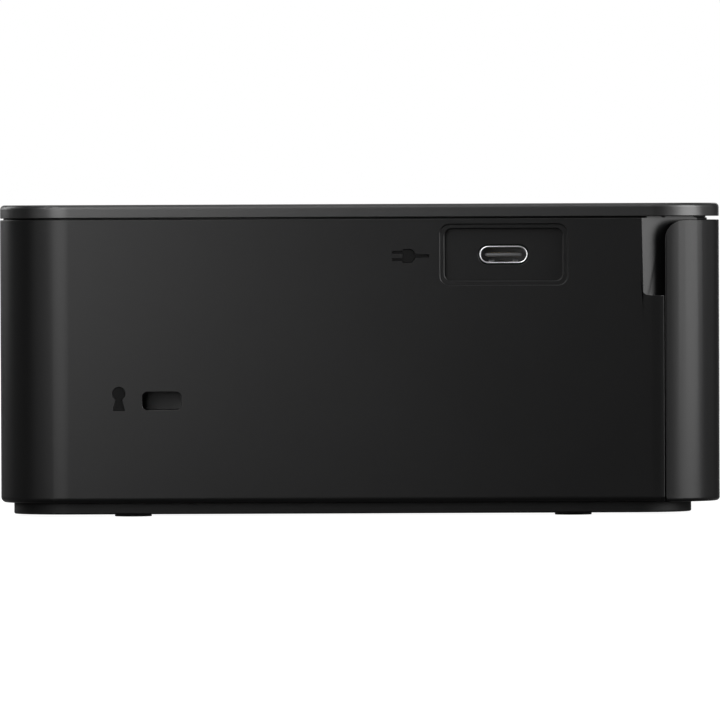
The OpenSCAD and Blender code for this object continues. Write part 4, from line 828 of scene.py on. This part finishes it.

# %% [markdown]
# ## Eject spring
# The CAD tube stands for a coil spring under the eject lever. A coil follows a rule, so a
# spiral curve and a round profile make it. Its foot stays on the housing and its head rises
# with the lever.

# %% Coil
spring_low, spring_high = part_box("eject_spring")
coil = Maker("coil", [
    ("Turns", "NodeSocketFloat"), ("Radius", "NodeSocketFloat"), ("Height", "NodeSocketFloat"),
    ("Wire", "NodeSocketFloat"),
])
spiral = coil.node("GeometryNodeCurveSpiral", values={
    "Resolution": 24, "Rotations": coil.given("Turns"), "Start Radius": coil.given("Radius"),
    "End Radius": coil.given("Radius"), "Height": coil.given("Height"),
})
wire = coil.node("GeometryNodeCurvePrimitiveCircle", values={
    "Resolution": 8, "Radius": coil.given("Wire")
})
tube = coil.node("GeometryNodeCurveToMesh", values={
    "Curve": spiral, "Profile Curve": wire, "Fill Caps": True
})
smooth_tube = coil.node("GeometryNodeSetShadeSmooth", values={"Geometry": tube})
coil.finish(smooth_tube, plated_steel.material)
WIRE, COIL_R, COIL_TURNS = 0.17 * MM, 0.82 * MM, 9.0
spring_mesh = grown("coil", coil, {
    "Turns": COIL_TURNS, "Radius": COIL_R, "Wire": WIRE,
    "Height": (spring_high.z - spring_low.z) - 2 * WIRE,
})
spring_mid = (spring_low + spring_high) / 2
spring_mesh.transform(Matrix.Translation((spring_mid.x, spring_mid.y, spring_low.z + WIRE)))
spring = bpy.data.objects.new("eject_coil", spring_mesh)
scene.collection.objects.link(spring)
spring.data.materials.clear()
spring.data.materials.append(plated_steel.material)
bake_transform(spring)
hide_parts("eject_spring")

# %% [markdown]
# ## Marks on the keys
# Such keys carry small printed signs. Only generic ones are used: power, home, a menu, back,
# arrows, plus, minus and a ring for the middle key. Each is a print a few hundredths of a
# millimetre thick, and it rides on its key.

# %% Key signs
key_ink = Finish("key_ink", (0.55, 0.56, 0.57), 0.45)
key_ink.feed("Roughness", 0.42 + 0.08 * key_ink.noise(0.0006))
INK, INK_SUNK = 0.03, 0.02


def arc(r, width, start, end, steps=20):
    """An arc of the given width, from start to end degrees, as one outline."""
    turns = [math.radians(start + (end - start) * i / steps) for i in range(steps + 1)]
    outer = [((r + width / 2) * math.cos(a), (r + width / 2) * math.sin(a)) for a in turns]
    inner = [((r - width / 2) * math.cos(a), (r - width / 2) * math.sin(a)) for a in turns]
    return outer + inner[::-1]


def arrow(turn, reach=11.2, size=1.5):
    """A triangle on the ring of keys, pointing outwards."""
    c, s = math.cos(math.radians(turn)), math.sin(math.radians(turn))
    flat = [(reach + size * 0.6, 0), (reach - size * 0.5, size), (reach - size * 0.5, -size)]
    return [(c * u - s * v, s * u + c * v) for u, v in flat]


ring_mid = (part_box("ok_key")[0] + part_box("ok_key")[1]) / 2
key_signs = {
    "power_key": [arc(1.7, 0.45, 125, 415), bar((0, 0.4), (0, 2.3), 0.45)],
    "home_key": [
        [(-1.9, 0.1), (0, 1.9), (1.9, 0.1)], [(-1.3, 0.0), (-1.3, -1.6), (1.3, -1.6), (1.3, 0.0)]
    ],
    "edit_key": [bar((-1.8, v), (1.8, v), 0.5) for v in (-1.2, 0.0, 1.2)],
    "back_key": [
        [(-2.2, 0.5), (-0.7, 1.8), (-0.7, -0.8)], bar((-0.8, 0.5), (1.1, 0.5), 0.5),
        bar((1.3, 0.72), (1.3, -1.5), 0.5), bar((1.5, -1.3), (-0.9, -1.3), 0.5),
    ],
    "minus_key": [bar((-1.5, 0), (1.5, 0), 0.55)],
    "plus_key": [
        bar((-1.5, 0), (-0.28, 0), 0.55), bar((0.28, 0), (1.5, 0), 0.55),
        bar((0, -1.5), (0, 1.5), 0.55),
    ],
    "ok_key": [arc(2.2, 0.4, 0, 178), arc(2.2, 0.4, 180, 358)],
}
ring_turns = {"right_key": 0, "up_key": 90, "left_key": 180, "down_key": 270}
key_signs.update({key: [arrow(turn)] for key, turn in ring_turns.items()})
for key, outlines in key_signs.items():
    low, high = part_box(key)
    mid = ring_mid if key in ring_turns else (low + high) / 2
    mesh = prisms(
        f"{key}_sign", outlines,
        lambda u, v, level: Vector((mid.x + u * MM, mid.y + v * MM, high.z + level * MM)),
        (-INK_SUNK, INK),
    )
    add_piece(f"{key}_sign", mesh, f"{key}_body", "key_plastic", key_ink)
print("key signs:", len(key_signs))
